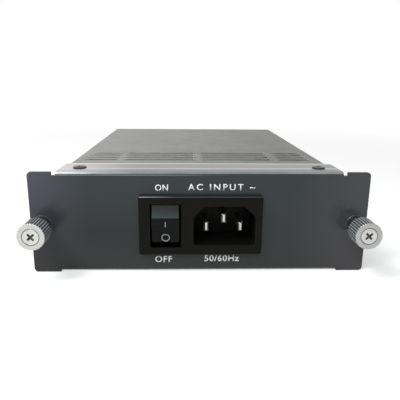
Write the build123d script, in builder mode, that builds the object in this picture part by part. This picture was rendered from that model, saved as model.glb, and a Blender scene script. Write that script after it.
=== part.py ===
# Redundant power supply: a slide-in module for a server chassis. A folded front panel with
# two spring-loaded thumbscrews and a combined mains inlet and rocker switch closes a sheet
# metal case, which holds the converter board. Millimetres, +Z up, the front faces -Y.
import os
from math import cos, pi, radians, sin

from build123d import *

os.makedirs("parts", exist_ok=True)

# Front panel, one folded sheet
panel_height = 41.4
ear_reach = 10.1
panel_thickness = 1.2
ear_corner_radius = 1.6
bend_inner_radius = 1.0
flange_inset = 0.7
flange_depth = 19.0
flange_corner_radius = 3.0
relief_width = 1.6
relief_depth = 1.4

# Case sheets
case_width = 114.4
case_depth = 168.5
sheet_thickness = 1.0
sheet_clearance = 0.1
cover_bend_radius = 1.6
tray_lip_height = 12.0
skirt_ground_gap = 0.6

# Cooling slots in the cover, in rows across it
vent_row_count = 4
vent_row_pitch = 6.2
vent_first_row = 35.5
vent_width = 3.0
vent_long = 34.0
vent_side_margin = 4.8
vent_bridge = 2.0

# Cooling slots in the rear wall
rear_vent_count = 9
rear_vent_width = 2.6
rear_vent_margin = 3.0
rear_vent_side_margin = 5.5

# Fasteners
flange_screw_inset = 7.8
flange_screw_depth = 8.9
flange_screw_head_radius = 2.7
flange_screw_head_height = 1.5
flange_screw_shank_radius = 1.45
flange_screw_length = 5.0
case_screw_head_radius = 2.6
case_screw_shank_radius = 1.45
case_screw_length = 4.0
case_screw_height = 8.0
case_screw_first = 30.0
case_screw_rear_gap = 18.5
case_screw_rows = 3
thread_clearance = 0.05
through_clearance = 0.2
countersink_angle = 90

# Combined mains inlet and switch module
bezel_width = 49.0
bezel_height = 24.0
bezel_reach = 2.8
bezel_edge_radius = 0.9
module_drop = 0.5
module_width = 46.6
module_body_height = 22.0
module_body_depth = 17.7
module_clearance = 0.1
snap_width = 6.0
snap_reach = 0.6
snap_length = 4.0
inlet_offset = 9.4
inlet_width = 24.5
inlet_height = 16.0
inlet_depth = 17.5
inlet_chamfer = 4.3
inlet_corner_radius = 1.2
pin_width = 2.0
pin_height = 4.0
pin_spacing = 14.0
pin_drop = 2.0
pin_setback = 5.3
earth_pin_lead = 1.5
pin_tip_chamfer = 0.6
tab_thickness = 0.8
tab_height = 4.8
tab_reach = 6.3
tab_seat = 4.0

# Rocker, tipped to its OFF side at rest
switch_offset = -13.9
switch_opening_width = 12.2
switch_opening_height = 17.8
rocker_side_gap = 0.7
rocker_face_half = 5.2
rocker_face_radius = 6.33
rocker_end_radius = 9.8
rocker_end_gap = 0.3
rocker_facet_angle = 41.0
rocker_pivot_depth = 5.0
rocker_tilt = 12.0
rocker_skirt_depth = 2.5
rocker_skirt_half = 4.0
switch_floor_gap = 2.0
switch_tab_spacing = 8.0
stub_radius = 1.5
stub_reach = 1.2
stub_clearance = 0.06

# Thumbscrews
thumb_inset = 4.6
thumb_drop = 0.7
thumb_reach = 15.0
thumb_travel = 5.0
knob_radius = 5.25
knob_length = 8.6
knob_rim = 0.9
knob_wall = 2.8
knurl_count = 36
knurl_depth = 0.32
knob_skirt_clearance = 0.3
screw_head_radius = 3.05
screw_head_height = 1.8
screw_ring_gap = 0.15
shank_radius = 1.9
thread_radius = 1.5
screw_tip_reach = 5.0
screw_tip_chamfer = 0.4
recess_size = 3.0
recess_depth = 1.3
ferrule_radius = 3.8
ferrule_bore_radius = 3.2
ferrule_flange_radius = 4.6
ferrule_flange_thickness = 0.6
ferrule_neck_radius = 3.4
running_clearance = 0.06
washer_radius = 2.8
washer_thickness = 0.5
spring_radius = 2.45
spring_wire = 0.5
spring_turns = 6
spring_end_gap = 0.1
clip_radius = 2.9
clip_thickness = 0.6
clip_gap = 0.3
clip_margin = 0.3

# Converter board and how it is carried
insulation_thickness = 0.4
standoff_height = 5.0
standoff_radius = 2.75
standoff_bore_radius = 1.3
board_side_gap = 5.1
board_front = 33.0
board_rear_gap = 2.0
board_thickness = 1.6
board_hole_inset = 4.0
board_screw_head_radius = 2.4
board_screw_head_height = 1.4
board_screw_length = 5.0

# Parts on the board: widths across X, lengths along Y, heights up Z, and the gaps between them
ceiling_clearance = 3.4
film_width = 23.0
film_length = 16.0
film_height = 17.0
film_front_gap = 6.0
film_side_gap = 12.5
film_edge_radius = 1.0
choke_radius = 9.5
choke_hole_radius = 5.0
choke_height = 9.0
choke_wrap = 1.4
choke_wrap_gap = 5.0
choke_base_size = 23.0
choke_base_height = 1.5
choke_offset = 12.0
choke_front_gap = 3.5
fuse_radius = 2.6
fuse_cap_radius = 2.8
fuse_length = 20.0
fuse_cap_length = 5.0
fuse_offset = -34.0
fuse_gap = 4.3
fuse_height = 5.0
clip_block_width = 4.0
clip_block_length = 7.4
clip_block_height = 6.0
disc_radius = 5.0
disc_thickness = 4.0
disc_lift = 2.0
disc_leg_radius = 0.4
disc_side_gap = 8.5
disc_pitch = 8.0
disc_front_gap = 7.0
bridge_width = 22.0
bridge_thickness = 4.2
bridge_height = 16.0
bridge_offset = 24.0
bridge_gap = 4.4
bulk_radius = 12.5
bulk_offset = -22.0
bulk_gap = 4.8
bulk_edge_radius = 1.0
core_width = 34.0
core_length = 13.0
core_yoke = 5.0
core_window_width = 7.0
core_side_gap = 2.5
winding_overhang = 6.0
sink_thickness = 3.0
sink_length_share = 0.35
sink_foot = 9.0
sink_fin_count = 4
sink_fin_reach = 5.0
sink_fin_thickness = 1.2
sink_inset = 1.0
primary_sink_gap = 20.0
secondary_sink_gap = 6.0
chip_body_width = 10.0
chip_body_thickness = 4.4
chip_side_gap = 1.0
chip_top_gap = 1.6
chip_tab_height = 6.4
chip_tab_thickness = 1.3
chip_lift = 4.0
chip_leg_width = 0.9
chip_leg_spacing = 2.54
chip_screw_radius = 1.45
chip_screw_head_radius = 2.7
chip_screw_head_height = 1.6
output_cap_radius = 5.0
output_cap_height = 20.0
output_cap_spacing = 12.0
output_cap_count = 3
output_cap_side_gap = 1.5
output_cap_gap = 4.0
output_choke_offset = -8.0
control_chip_width = 7.0
control_chip_length = 10.0
control_chip_height = 3.4
control_chip_side_gap = 5.5
control_chip_gap = 3.0
control_chip_pitch = 12.0

# Wiring
lead_radius = 1.0
lead_bend_radius = 4.0
lead_landing = 35.5
earth_lead_bend_radius = 2.6
earth_lead_depth = 30.0
earth_stud_side_gap = 15.1
earth_stud_depth = 13.0
earth_stud_radius = 2.0
earth_stud_height = 10.0
ring_radius = 4.0
ring_thickness = 0.8
ring_barrel_length = 5.0
ring_barrel_width = 3.4
ring_barrel_height = 3.0
nut_flats = 7.0
nut_height = 3.2

# Edge of the board that plugs into the chassis, through the rear wall
tongue_width = 40.0
tongue_reach = 8.0
tongue_slot_gap = 0.8

# Places that follow from the sizes
overall_depth = thumb_reach + case_depth + tongue_reach
face_y = thumb_reach - overall_depth / 2
bend_outer_radius = bend_inner_radius + panel_thickness
case_bottom = panel_thickness
case_top = panel_height - panel_thickness
case_front = bend_outer_radius + sheet_clearance
floor_z = case_bottom + sheet_thickness
ceiling_z = case_top - sheet_thickness
cover_half = case_width / 2
panel_width = case_width + 2 * ear_reach
flange_width = case_width - 2 * flange_inset
vent_short = cover_half - vent_side_margin - vent_long - 1.5 * vent_bridge
tray_half = cover_half - sheet_thickness - sheet_clearance
rear_vent_pitch = (tray_half - 2 * rear_vent_side_margin) / rear_vent_count
case_screw_pitch = (case_depth - case_screw_first - case_screw_rear_gap) / (case_screw_rows - 1)
module_height = panel_height / 2 - module_drop
thumb_height = panel_height / 2 - thumb_drop
thumb_x_distance = panel_width / 2 - thumb_inset
earth_stud_offset = tray_half - sheet_thickness - earth_stud_side_gap
cover_inner_radius = cover_bend_radius - sheet_thickness
tray_top = ceiling_z - cover_inner_radius
board_bottom = floor_z + standoff_height
board_top = board_bottom + board_thickness
board_rear = case_depth - sheet_thickness - board_rear_gap
board_length = board_rear - board_front
board_width = 2 * (tray_half - sheet_thickness - board_side_gap)
board_middle_hole = board_front + board_length / 3
bezel_front = -bezel_reach
module_rear = module_body_depth
tab_end = module_rear + tab_reach
floor_of_inlet = bezel_front + inlet_depth
pivot_depth = bezel_front + rocker_pivot_depth
thumb_front = -thumb_reach
knob_floor = thumb_front + knob_wall
knob_rear = thumb_front + knob_length
ferrule_front = knob_floor + thumb_travel + knob_skirt_clearance
shank_end = panel_thickness + clip_gap + clip_thickness + clip_margin
flange_screw_hole = flange_screw_shank_radius + through_clearance
case_screw_hole = case_screw_shank_radius + through_clearance
board_screw_shank = standoff_bore_radius - thread_clearance

# Heights on the board, from the room under the cover
tall_height = ceiling_z - board_top - ceiling_clearance
core_window_height = tall_height - 2 * core_yoke
chip_body_height = tall_height - chip_lift - chip_tab_height - chip_top_gap

# Middle of the board, from front to rear: choke, bridge, transformer, output choke
winding_length = core_length + 2 * winding_overhang
row_gap = (board_length - choke_front_gap - 2 * choke_base_size - bridge_gap
           - bridge_thickness - winding_length) / 3
choke_depth = board_front + choke_front_gap + choke_base_size / 2
bridge_depth = choke_depth + choke_base_size / 2 + bridge_gap + bridge_thickness / 2
core_depth = bridge_depth + bridge_thickness / 2 + row_gap + winding_length / 2
output_choke_depth = core_depth + winding_length / 2 + row_gap + choke_base_size / 2
core_offset = bulk_offset + bulk_radius + core_side_gap + core_width / 2

# Left of the board: film capacitor, fuse, bulk capacitor, heatsink and control chips
sink_length = board_length * sink_length_share
sink_face = board_width / 2 - sink_inset - sink_thickness
sink_front = board_middle_hole + board_screw_head_radius
film_offset = choke_offset - choke_base_size / 2 - film_side_gap - film_width / 2
film_depth = board_front + film_front_gap + film_length / 2
fuse_depth = film_depth + film_length / 2 + fuse_gap + clip_block_length / 2
bulk_depth = fuse_depth + clip_block_length / 2 + bulk_gap + bulk_radius
primary_sink_depth = sink_front + primary_sink_gap + sink_length / 2
control_chip_offset = (control_chip_side_gap + sink_foot + control_chip_width / 2
                       - sink_face)
control_chip_depth = bulk_depth + bulk_radius + control_chip_gap + control_chip_length / 2
control_chip_depths = (control_chip_depth, control_chip_depth + control_chip_pitch)

# Right of the board: safety discs, heatsink and output capacitors
disc_offset = choke_offset + choke_base_size / 2 + disc_side_gap + disc_thickness / 2
disc_offsets = (disc_offset, disc_offset + disc_pitch)
disc_depth = board_front + disc_front_gap + disc_radius
secondary_sink_depth = sink_front + secondary_sink_gap + sink_length / 2
output_cap_depth = secondary_sink_depth + sink_length / 2 + output_cap_gap + output_cap_radius
output_cap_offset = (output_choke_offset + choke_base_size / 2 + output_cap_side_gap
                     + output_cap_radius + (output_cap_count - 1) / 2 * output_cap_spacing)


def depth(distance):
    """Y of a place that far behind the panel's front."""
    return face_y + distance


def facing(distance):
    """A plane that faces the front, that far behind the panel's front."""
    return Plane.XZ.offset(-depth(distance))


def seat(x, distance, z, turn=(0, 0, 0)):
    """A place given by its offset, its depth behind the panel's front and its height."""
    return Location((x, depth(distance), z), turn)


def headed_screw(head_radius, head_height, shank_radius, length, recess):
    """A domed-head screw with its seat at z = 0 and its shank downwards."""
    with BuildPart() as screw:
        Cylinder(head_radius, head_height, align=(Align.CENTER, Align.CENTER, Align.MIN))
        fillet(screw.faces().sort_by(Axis.Z)[-1].edges(), head_height / 2)
        Cylinder(shank_radius, length, align=(Align.CENTER, Align.CENTER, Align.MAX))
        with BuildSketch(Plane.XY.offset(head_height)):
            Rectangle(recess, recess / 4)
            Rectangle(recess / 4, recess)
        extrude(amount=-head_height * 0.6, mode=Mode.SUBTRACT)
    return screw.part


def flush_screw(head_radius, shank_radius, length, recess):
    """A countersunk screw with its flat head at z = 0 and its shank downwards."""
    cone = head_radius - shank_radius
    with BuildPart() as screw:
        with BuildSketch(Plane.XZ):
            with BuildLine():
                Polyline((0, 0), (head_radius, 0), (shank_radius, -cone),
                         (shank_radius, -length), (0, -length), close=True)
            make_face()
        revolve(axis=Axis.Z)
        with BuildSketch(Plane.XY):
            Rectangle(recess, recess / 4)
            Rectangle(recess / 4, recess)
        extrude(amount=-cone * 0.7, mode=Mode.SUBTRACT)
    return screw.part


flange_screw = headed_screw(flange_screw_head_radius, flange_screw_head_height,
                            flange_screw_shank_radius, flange_screw_length, recess_size)
case_screw = flush_screw(case_screw_head_radius, case_screw_shank_radius,
                         case_screw_length, recess_size)
board_screw = headed_screw(board_screw_head_radius, board_screw_head_height,
                           board_screw_shank, board_screw_length, recess_size)
chip_screw = headed_screw(chip_screw_head_radius, chip_screw_head_height, chip_screw_radius,
                          chip_tab_thickness + sink_thickness, recess_size)

flange_screw_x = flange_width / 2 - flange_screw_inset
flange_screw_xs = (-flange_screw_x, flange_screw_x)
top_screw_places = [seat(x, flange_screw_depth, panel_height) for x in flange_screw_xs]
bottom_screw_places = [seat(x, flange_screw_depth, 0, (180, 0, 0)) for x in flange_screw_xs]
side_screw_places = [
    seat(side * cover_half, case_screw_first + row * case_screw_pitch,
         case_screw_height, (0, side * 90, 0))
    for side in (-1, 1)
    for row in range(case_screw_rows)
]

# Front panel: ears, flat face and the flanges folded back over and under the case
with BuildPart() as front_panel:
    with BuildSketch(facing(0)):
        with Locations((0, panel_height / 2)):
            RectangleRounded(panel_width, panel_height, ear_corner_radius)
        relief_x = (flange_width + relief_width) / 2
        with Locations((-relief_x, panel_height), (relief_x, panel_height)):
            Rectangle(relief_width, relief_depth, align=(Align.CENTER, Align.MAX),
                      mode=Mode.SUBTRACT)
        with Locations((0, panel_height)):
            Rectangle(flange_width, bend_outer_radius, align=(Align.CENTER, Align.MAX),
                      mode=Mode.SUBTRACT)
        with Locations((0, 0)):
            Rectangle(flange_width, bend_outer_radius, align=(Align.CENTER, Align.MIN),
                      mode=Mode.SUBTRACT)
    extrude(amount=-panel_thickness)
    with BuildSketch(Plane.YZ):
        with BuildLine():
            outer = FilletPolyline(
                (depth(flange_depth), panel_height), (face_y, panel_height),
                (face_y, 0), (depth(flange_depth), 0), radius=bend_outer_radius)
            inner = FilletPolyline(
                (depth(flange_depth), case_top), (depth(panel_thickness), case_top),
                (depth(panel_thickness), case_bottom), (depth(flange_depth), case_bottom),
                radius=bend_inner_radius)
            Line(outer @ 0, inner @ 0)
            Line(outer @ 1, inner @ 1)
        make_face()
    extrude(amount=flange_width / 2, both=True)
    fillet(front_panel.edges().filter_by(Axis.Z).group_by(Axis.Y)[-1], flange_corner_radius)
    with BuildSketch(facing(0)):
        with Locations((0, module_height)):
            Rectangle(module_width + 2 * module_clearance,
                      module_body_height + 2 * module_clearance)
        with Locations((-thumb_x_distance, thumb_height), (thumb_x_distance, thumb_height)):
            Circle(ferrule_neck_radius)
    extrude(amount=-panel_thickness, mode=Mode.SUBTRACT)
    with Locations(*top_screw_places):
        Hole(flange_screw_hole, depth=panel_thickness)
    with Locations(*bottom_screw_places):
        CounterSinkHole(flange_screw_hole, case_screw_head_radius + thread_clearance,
                        depth=panel_thickness, counter_sink_angle=countersink_angle)
front_panel.part.label = "front_panel"
export_step(front_panel.part, "parts/front_panel.step")

# Top cover: the roof with its cooling slots, and both sides of the case
with BuildPart() as top_cover:
    cover_foot = case_bottom + skirt_ground_gap
    with BuildSketch(facing(case_front)):
        with BuildLine():
            outer = FilletPolyline(
                (-cover_half, cover_foot), (-cover_half, case_top),
                (cover_half, case_top), (cover_half, cover_foot), radius=cover_bend_radius)
            inner = FilletPolyline(
                (-cover_half + sheet_thickness, cover_foot),
                (-cover_half + sheet_thickness, ceiling_z),
                (cover_half - sheet_thickness, ceiling_z),
                (cover_half - sheet_thickness, cover_foot),
                radius=cover_inner_radius)
            Line(outer @ 0, inner @ 0)
            Line(outer @ 1, inner @ 1)
        make_face()
    extrude(amount=case_front - case_depth)
    vent_rows = [depth(vent_first_row + row * vent_row_pitch) for row in range(vent_row_count)]
    long_x = (vent_bridge + vent_long) / 2
    short_x = vent_bridge * 1.5 + vent_long + vent_short / 2
    with BuildSketch(Plane.XY.offset(case_top)):
        with Locations(*[(side * long_x, y) for side in (-1, 1) for y in vent_rows]):
            SlotOverall(vent_long, vent_width)
        with Locations(*[(side * short_x, y) for side in (-1, 1) for y in vent_rows]):
            SlotOverall(vent_short, vent_width)
    extrude(amount=-sheet_thickness, mode=Mode.SUBTRACT)
    with Locations(*top_screw_places):
        Hole(flange_screw_shank_radius + thread_clearance,
             depth=panel_thickness + sheet_thickness)
    with Locations(*side_screw_places):
        CounterSinkHole(case_screw_hole, case_screw_head_radius + thread_clearance,
                        depth=sheet_thickness, counter_sink_angle=countersink_angle)
top_cover.part.label = "top_cover"
export_step(top_cover.part, "parts/top_cover.step")

# Base tray: the floor, its side lips and the rear wall
with BuildPart() as base_tray:
    with BuildSketch(facing(case_front)):
        with Locations((0, case_bottom)):
            Rectangle(2 * tray_half, tray_lip_height, align=(Align.CENTER, Align.MIN))
        with Locations((0, floor_z)):
            Rectangle(2 * (tray_half - sheet_thickness), tray_lip_height,
                      align=(Align.CENTER, Align.MIN), mode=Mode.SUBTRACT)
    extrude(amount=case_front - case_depth)
    with BuildSketch(facing(case_depth)):
        with Locations((0, case_bottom)):
            Rectangle(2 * tray_half, tray_top - case_bottom, align=(Align.CENTER, Align.MIN))
    extrude(amount=sheet_thickness)
    with BuildSketch(facing(case_depth)):
        with Locations((0, board_bottom + board_thickness / 2)):
            Rectangle(tongue_width + 2 * tongue_slot_gap, board_thickness + 2 * tongue_slot_gap)
        vent_foot = board_top + rear_vent_margin
        rear_vent_length = tray_top - rear_vent_margin - vent_foot
        rear_vent_z = vent_foot + rear_vent_length / 2
        with Locations((-tray_half / 2, rear_vent_z), (tray_half / 2, rear_vent_z)):
            with GridLocations(rear_vent_pitch, 0, rear_vent_count, 1):
                SlotOverall(rear_vent_length, rear_vent_width, rotation=90)
    extrude(amount=sheet_thickness, mode=Mode.SUBTRACT)
    with Locations(*bottom_screw_places):
        Hole(flange_screw_shank_radius + thread_clearance,
             depth=panel_thickness + sheet_thickness)
    with Locations(*side_screw_places):
        Hole(case_screw_hole, depth=2 * sheet_thickness + sheet_clearance)
base_tray.part.label = "base_tray"
export_step(base_tray.part, "parts/base_tray.step")

# Screws that hold the flanges and the cover
with BuildPart() as flange_screws:
    with Locations(*top_screw_places):
        add(flange_screw)
flange_screws.part.label = "flange_screws"
export_step(flange_screws.part, "parts/flange_screws.step")

with BuildPart() as underside_screws:
    with Locations(*bottom_screw_places):
        add(case_screw)
underside_screws.part.label = "underside_screws"
export_step(underside_screws.part, "parts/underside_screws.step")

with BuildPart() as side_screws:
    with Locations(*side_screw_places):
        add(case_screw)
side_screws.part.label = "side_screws"
export_step(side_screws.part, "parts/side_screws.step")

# Pins of the mains inlet: blades that run through the module to its back
base_align = (Align.CENTER, Align.CENTER, Align.MIN)


def blade(x, z, front, rear_tab):
    """An inlet blade from its chamfered tip to the module's back, with a tab behind it."""
    with BuildPart() as pin:
        with BuildSketch(facing(front)):
            with Locations((x, z)):
                Rectangle(pin_width, pin_height)
        extrude(amount=front - floor_of_inlet - tab_seat / 2)
        chamfer(pin.faces().sort_by(Axis.Y)[0].edges(), pin_tip_chamfer)
        if rear_tab:
            with BuildSketch(facing(floor_of_inlet)):
                with Locations((x, z)):
                    Rectangle(tab_thickness, pin_height)
            extrude(amount=floor_of_inlet - tab_end)
    return pin.part


def contact_tab(x, z):
    """A tab that leaves the module's back."""
    with BuildPart() as tab:
        with BuildSketch(facing(module_rear - tab_seat)):
            with Locations((x, z)):
                Rectangle(tab_thickness, tab_height)
        extrude(amount=-tab_seat - tab_reach)
    return tab.part


pin_front = bezel_front + pin_setback
power_pin_z = module_height - pin_drop
earth_pin_z = module_height + pin_drop
live_pin = blade(inlet_offset - pin_spacing / 2, power_pin_z, pin_front, False)
live_pin.label = "live_pin"
export_step(live_pin, "parts/live_pin.step")

neutral_pin = blade(inlet_offset + pin_spacing / 2, power_pin_z, pin_front, False)
neutral_pin.label = "neutral_pin"
export_step(neutral_pin, "parts/neutral_pin.step")

earth_pin = blade(inlet_offset, earth_pin_z, pin_front - earth_pin_lead, True)
earth_pin.label = "earth_pin"
export_step(earth_pin, "parts/earth_pin.step")

live_tab_x = switch_offset - switch_tab_spacing / 2
neutral_tab_x = switch_offset + switch_tab_spacing / 2
with BuildPart() as switch_tabs:
    add(contact_tab(live_tab_x, module_height))
    add(contact_tab(neutral_tab_x, module_height))
switch_tabs.part.label = "switch_tabs"
export_step(switch_tabs.part, "parts/switch_tabs.step")

# Inlet and switch module: bezel, body, snap-in wedges, inlet recess and switch well
stub_half = switch_opening_width / 2 + stub_reach
with BuildPart() as inlet_housing:
    with BuildSketch(facing(0)):
        with Locations((0, module_height)):
            RectangleRounded(bezel_width, bezel_height, bezel_edge_radius)
    extrude(amount=bezel_reach)
    fillet(inlet_housing.faces().sort_by(Axis.Y)[0].edges(), bezel_edge_radius / 2)
    with BuildSketch(facing(0)):
        with Locations((0, module_height)):
            Rectangle(module_width, module_body_height)
    extrude(amount=-module_body_depth)
    with BuildSketch(Plane.XY.offset(module_height - snap_width / 2)):
        for side in (-1, 1):
            root = side * module_width / 2
            with BuildLine():
                Polyline((root, depth(panel_thickness)),
                         (root + side * snap_reach, depth(panel_thickness)),
                         (root, depth(panel_thickness + snap_length)), close=True)
            make_face()
    extrude(amount=snap_width)
    with BuildSketch(facing(bezel_front)) as inlet_mouth:
        with Locations((inlet_offset, module_height)):
            Rectangle(inlet_width, inlet_height)
        chamfer(inlet_mouth.vertices().group_by(Axis.Y)[-1], inlet_chamfer)
        fillet(inlet_mouth.vertices().group_by(Axis.Y)[0], inlet_corner_radius)
    extrude(amount=-inlet_depth, mode=Mode.SUBTRACT)
    with BuildSketch(facing(bezel_front)):
        with Locations((switch_offset, module_height)):
            Rectangle(switch_opening_width, switch_opening_height)
    extrude(amount=-rocker_pivot_depth, mode=Mode.SUBTRACT)
    with Locations(seat(switch_offset, pivot_depth, module_height, (0, 90, 0))):
        Cylinder(rocker_end_radius + rocker_end_gap, switch_opening_width, mode=Mode.SUBTRACT)
        Cylinder(stub_radius + stub_clearance, 2 * (stub_half + thread_clearance),
                 mode=Mode.SUBTRACT)
    for piece in (live_pin, neutral_pin, earth_pin, switch_tabs.part):
        add(piece, mode=Mode.SUBTRACT)
inlet_housing.part.label = "inlet_housing"
export_step(inlet_housing.part, "parts/inlet_housing.step")

# Rocker: flat marked face, sloping ends, arcs about the pivot and moulded stubs
rocker_plane = Plane(
    origin=(switch_offset, depth(pivot_depth), module_height),
    x_dir=(0, cos(radians(rocker_tilt)), sin(radians(rocker_tilt))), z_dir=(1, 0, 0))
facet_run = rocker_end_radius * sin(radians(rocker_facet_angle))
facet_rise = rocker_end_radius * cos(radians(rocker_facet_angle))
with BuildPart() as switch_rocker:
    with BuildSketch(rocker_plane):
        with BuildLine():
            Polyline((-rocker_face_radius, rocker_face_half),
                     (facet_run - rocker_face_radius, rocker_face_half + facet_rise),
                     (rocker_skirt_depth, rocker_skirt_half),
                     (rocker_skirt_depth, -rocker_skirt_half),
                     (facet_run - rocker_face_radius, -rocker_face_half - facet_rise),
                     (-rocker_face_radius, -rocker_face_half), close=True)
        make_face()
        Circle(rocker_end_radius, mode=Mode.INTERSECT)
    extrude(amount=switch_opening_width / 2 - rocker_side_gap, both=True)
    with BuildSketch(rocker_plane):
        Circle(stub_radius)
    extrude(amount=stub_half, both=True)
switch_rocker.part.label = "switch_rocker"
export_step(switch_rocker.part, "parts/switch_rocker.step")

# Thumbscrews, drawn out at rest: ferrule in the ear, spring, washer, knob, screw and clip
knurl_points = [
    ((knob_radius - knurl_depth * (step % 2)) * cos(pi * step / knurl_count),
     (knob_radius - knurl_depth * (step % 2)) * sin(pi * step / knurl_count))
    for step in range(2 * knurl_count)
]
for side_name, side in (("left", -1), ("right", 1)):
    thumb_x = side * thumb_x_distance

    with BuildPart() as ferrule:
        with Locations(seat(thumb_x, 0, thumb_height, (90, 0, 0))):
            Cylinder(ferrule_flange_radius, ferrule_flange_thickness, align=base_align)
            Cylinder(ferrule_radius, -ferrule_front, align=base_align)
            Cylinder(ferrule_bore_radius, -ferrule_front, align=base_align,
                     mode=Mode.SUBTRACT)
        with Locations(seat(thumb_x, panel_thickness, thumb_height, (90, 0, 0))):
            Cylinder(ferrule_neck_radius, panel_thickness, align=base_align)
            Cylinder(shank_radius + running_clearance, panel_thickness, align=base_align,
                     mode=Mode.SUBTRACT)
    ferrule.part.label = f"{side_name}_thumb_ferrule"
    export_step(ferrule.part, f"parts/{side_name}_thumb_ferrule.step")

    with BuildPart() as knob:
        with BuildSketch(facing(thumb_front)):
            with Locations((thumb_x, thumb_height)):
                Circle(knob_radius)
        extrude(amount=-knob_rim)
        chamfer(knob.faces().sort_by(Axis.Y)[0].edges(), knurl_depth)
        with BuildSketch(facing(thumb_front + knob_rim)):
            with Locations((thumb_x, thumb_height)):
                Polygon(*knurl_points, align=None)
        extrude(amount=knob_rim - knob_length)
        with BuildSketch(facing(knob_rear)):
            with Locations((thumb_x, thumb_height)):
                Circle(ferrule_radius + knob_skirt_clearance)
        extrude(amount=knob_length - knob_wall, mode=Mode.SUBTRACT)
        with BuildSketch(facing(thumb_front)):
            with Locations((thumb_x, thumb_height)):
                Circle(screw_head_radius + screw_ring_gap)
        extrude(amount=-screw_head_height, mode=Mode.SUBTRACT)
        with BuildSketch(facing(thumb_front)):
            with Locations((thumb_x, thumb_height)):
                Circle(shank_radius + thread_clearance)
        extrude(amount=-knob_wall, mode=Mode.SUBTRACT)
    knob.part.label = f"{side_name}_thumb_knob"
    export_step(knob.part, f"parts/{side_name}_thumb_knob.step")

    with BuildPart() as screw:
        with Locations(seat(thumb_x, thumb_front, thumb_height, (-90, 0, 0))):
            Cylinder(screw_head_radius, screw_head_height, align=base_align)
            Cylinder(shank_radius, shank_end - thumb_front, align=base_align)
            Cylinder(thread_radius, panel_thickness + screw_tip_reach - thumb_front,
                     align=base_align)
        chamfer(screw.faces().sort_by(Axis.Y)[-1].edges(), screw_tip_chamfer)
        with BuildSketch(facing(thumb_front)):
            with Locations((thumb_x, thumb_height)):
                Rectangle(recess_size, recess_size / 4)
                Rectangle(recess_size / 4, recess_size)
        extrude(amount=-recess_depth, mode=Mode.SUBTRACT)
    screw.part.label = f"{side_name}_thumb_screw"
    export_step(screw.part, f"parts/{side_name}_thumb_screw.step")

    with BuildPart() as washer:
        with Locations(seat(thumb_x, knob_floor, thumb_height, (-90, 0, 0))):
            Cylinder(washer_radius, washer_thickness, align=base_align)
            Cylinder(shank_radius + running_clearance, washer_thickness, align=base_align,
                     mode=Mode.SUBTRACT)
    washer.part.label = f"{side_name}_thumb_washer"
    export_step(washer.part, f"parts/{side_name}_thumb_washer.step")

    with BuildPart() as spring:
        spring_start = -spring_wire / 2 - spring_end_gap
        spring_height = -knob_floor - washer_thickness - spring_wire - 2 * spring_end_gap
        with BuildLine():
            coil = Helix(pitch=spring_height / spring_turns, height=spring_height,
                         radius=spring_radius, direction=(0, -1, 0),
                         center=(thumb_x, depth(spring_start), thumb_height))
        with BuildSketch(Plane(origin=coil @ 0, z_dir=coil % 0)):
            Circle(spring_wire / 2)
        sweep(is_frenet=True)
    spring.part.label = f"{side_name}_thumb_spring"
    export_step(spring.part, f"parts/{side_name}_thumb_spring.step")

    with BuildPart() as clip:
        with Locations(seat(thumb_x, panel_thickness + clip_gap, thumb_height, (-90, 0, 0))):
            Cylinder(clip_radius, clip_thickness, align=base_align)
            Cylinder(shank_radius, clip_thickness, align=base_align, mode=Mode.SUBTRACT)
    clip.part.label = f"{side_name}_thumb_clip"
    export_step(clip.part, f"parts/{side_name}_thumb_clip.step")


def on_board(x, distance, lift=0.0):
    """A place on the board's top."""
    return seat(x, distance, board_top + lift)


# Converter board with its edge tongue, its standoffs, screws and insulating sheet
board_hole_x = board_width / 2 - board_hole_inset
board_hole_depths = (board_front + board_hole_inset, board_middle_hole,
                     board_rear - board_hole_inset)
board_holes = [(x, depth(distance)) for x in (-board_hole_x, board_hole_x)
               for distance in board_hole_depths]
tongue_rear = case_depth + tongue_reach
with BuildPart() as circuit_board:
    with BuildSketch(Plane.XY.offset(board_bottom)):
        with Locations((0, depth(board_front))):
            Rectangle(board_width, board_length, align=(Align.CENTER, Align.MIN))
            Rectangle(tongue_width, tongue_rear - board_front, align=(Align.CENTER, Align.MIN))
        with Locations(*board_holes):
            Circle(board_screw_shank + through_clearance, mode=Mode.SUBTRACT)
    extrude(amount=board_thickness)
circuit_board.part.label = "circuit_board"
export_step(circuit_board.part, "parts/circuit_board.step")

with BuildPart() as insulation_sheet:
    with BuildSketch(Plane.XY.offset(floor_z)):
        with Locations((0, depth(board_front))):
            Rectangle(board_width, board_length, align=(Align.CENTER, Align.MIN))
        with Locations(*board_holes):
            Circle(standoff_radius + through_clearance, mode=Mode.SUBTRACT)
    extrude(amount=insulation_thickness)
insulation_sheet.part.label = "insulation_sheet"
export_step(insulation_sheet.part, "parts/insulation_sheet.step")

with BuildPart() as board_standoffs:
    with BuildSketch(Plane.XY.offset(floor_z)):
        with Locations(*board_holes):
            RegularPolygon(standoff_radius, 6)
            Circle(standoff_bore_radius, mode=Mode.SUBTRACT)
    extrude(amount=standoff_height)
board_standoffs.part.label = "board_standoffs"
export_step(board_standoffs.part, "parts/board_standoffs.step")

with BuildPart() as board_screws:
    with Locations(*[(x, y, board_top) for x, y in board_holes]):
        add(board_screw)
board_screws.part.label = "board_screws"
export_step(board_screws.part, "parts/board_screws.step")

# Mains filter: film capacitor, common-mode choke, safety discs and fuse
with BuildPart() as film_capacitor:
    with Locations(on_board(film_offset, film_depth)):
        Box(film_width, film_length, film_height, align=base_align)
    fillet(film_capacitor.edges().filter_by(Axis.Z), film_edge_radius)
film_capacitor.part.label = "film_capacitor"
export_step(film_capacitor.part, "parts/film_capacitor.step")

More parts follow.
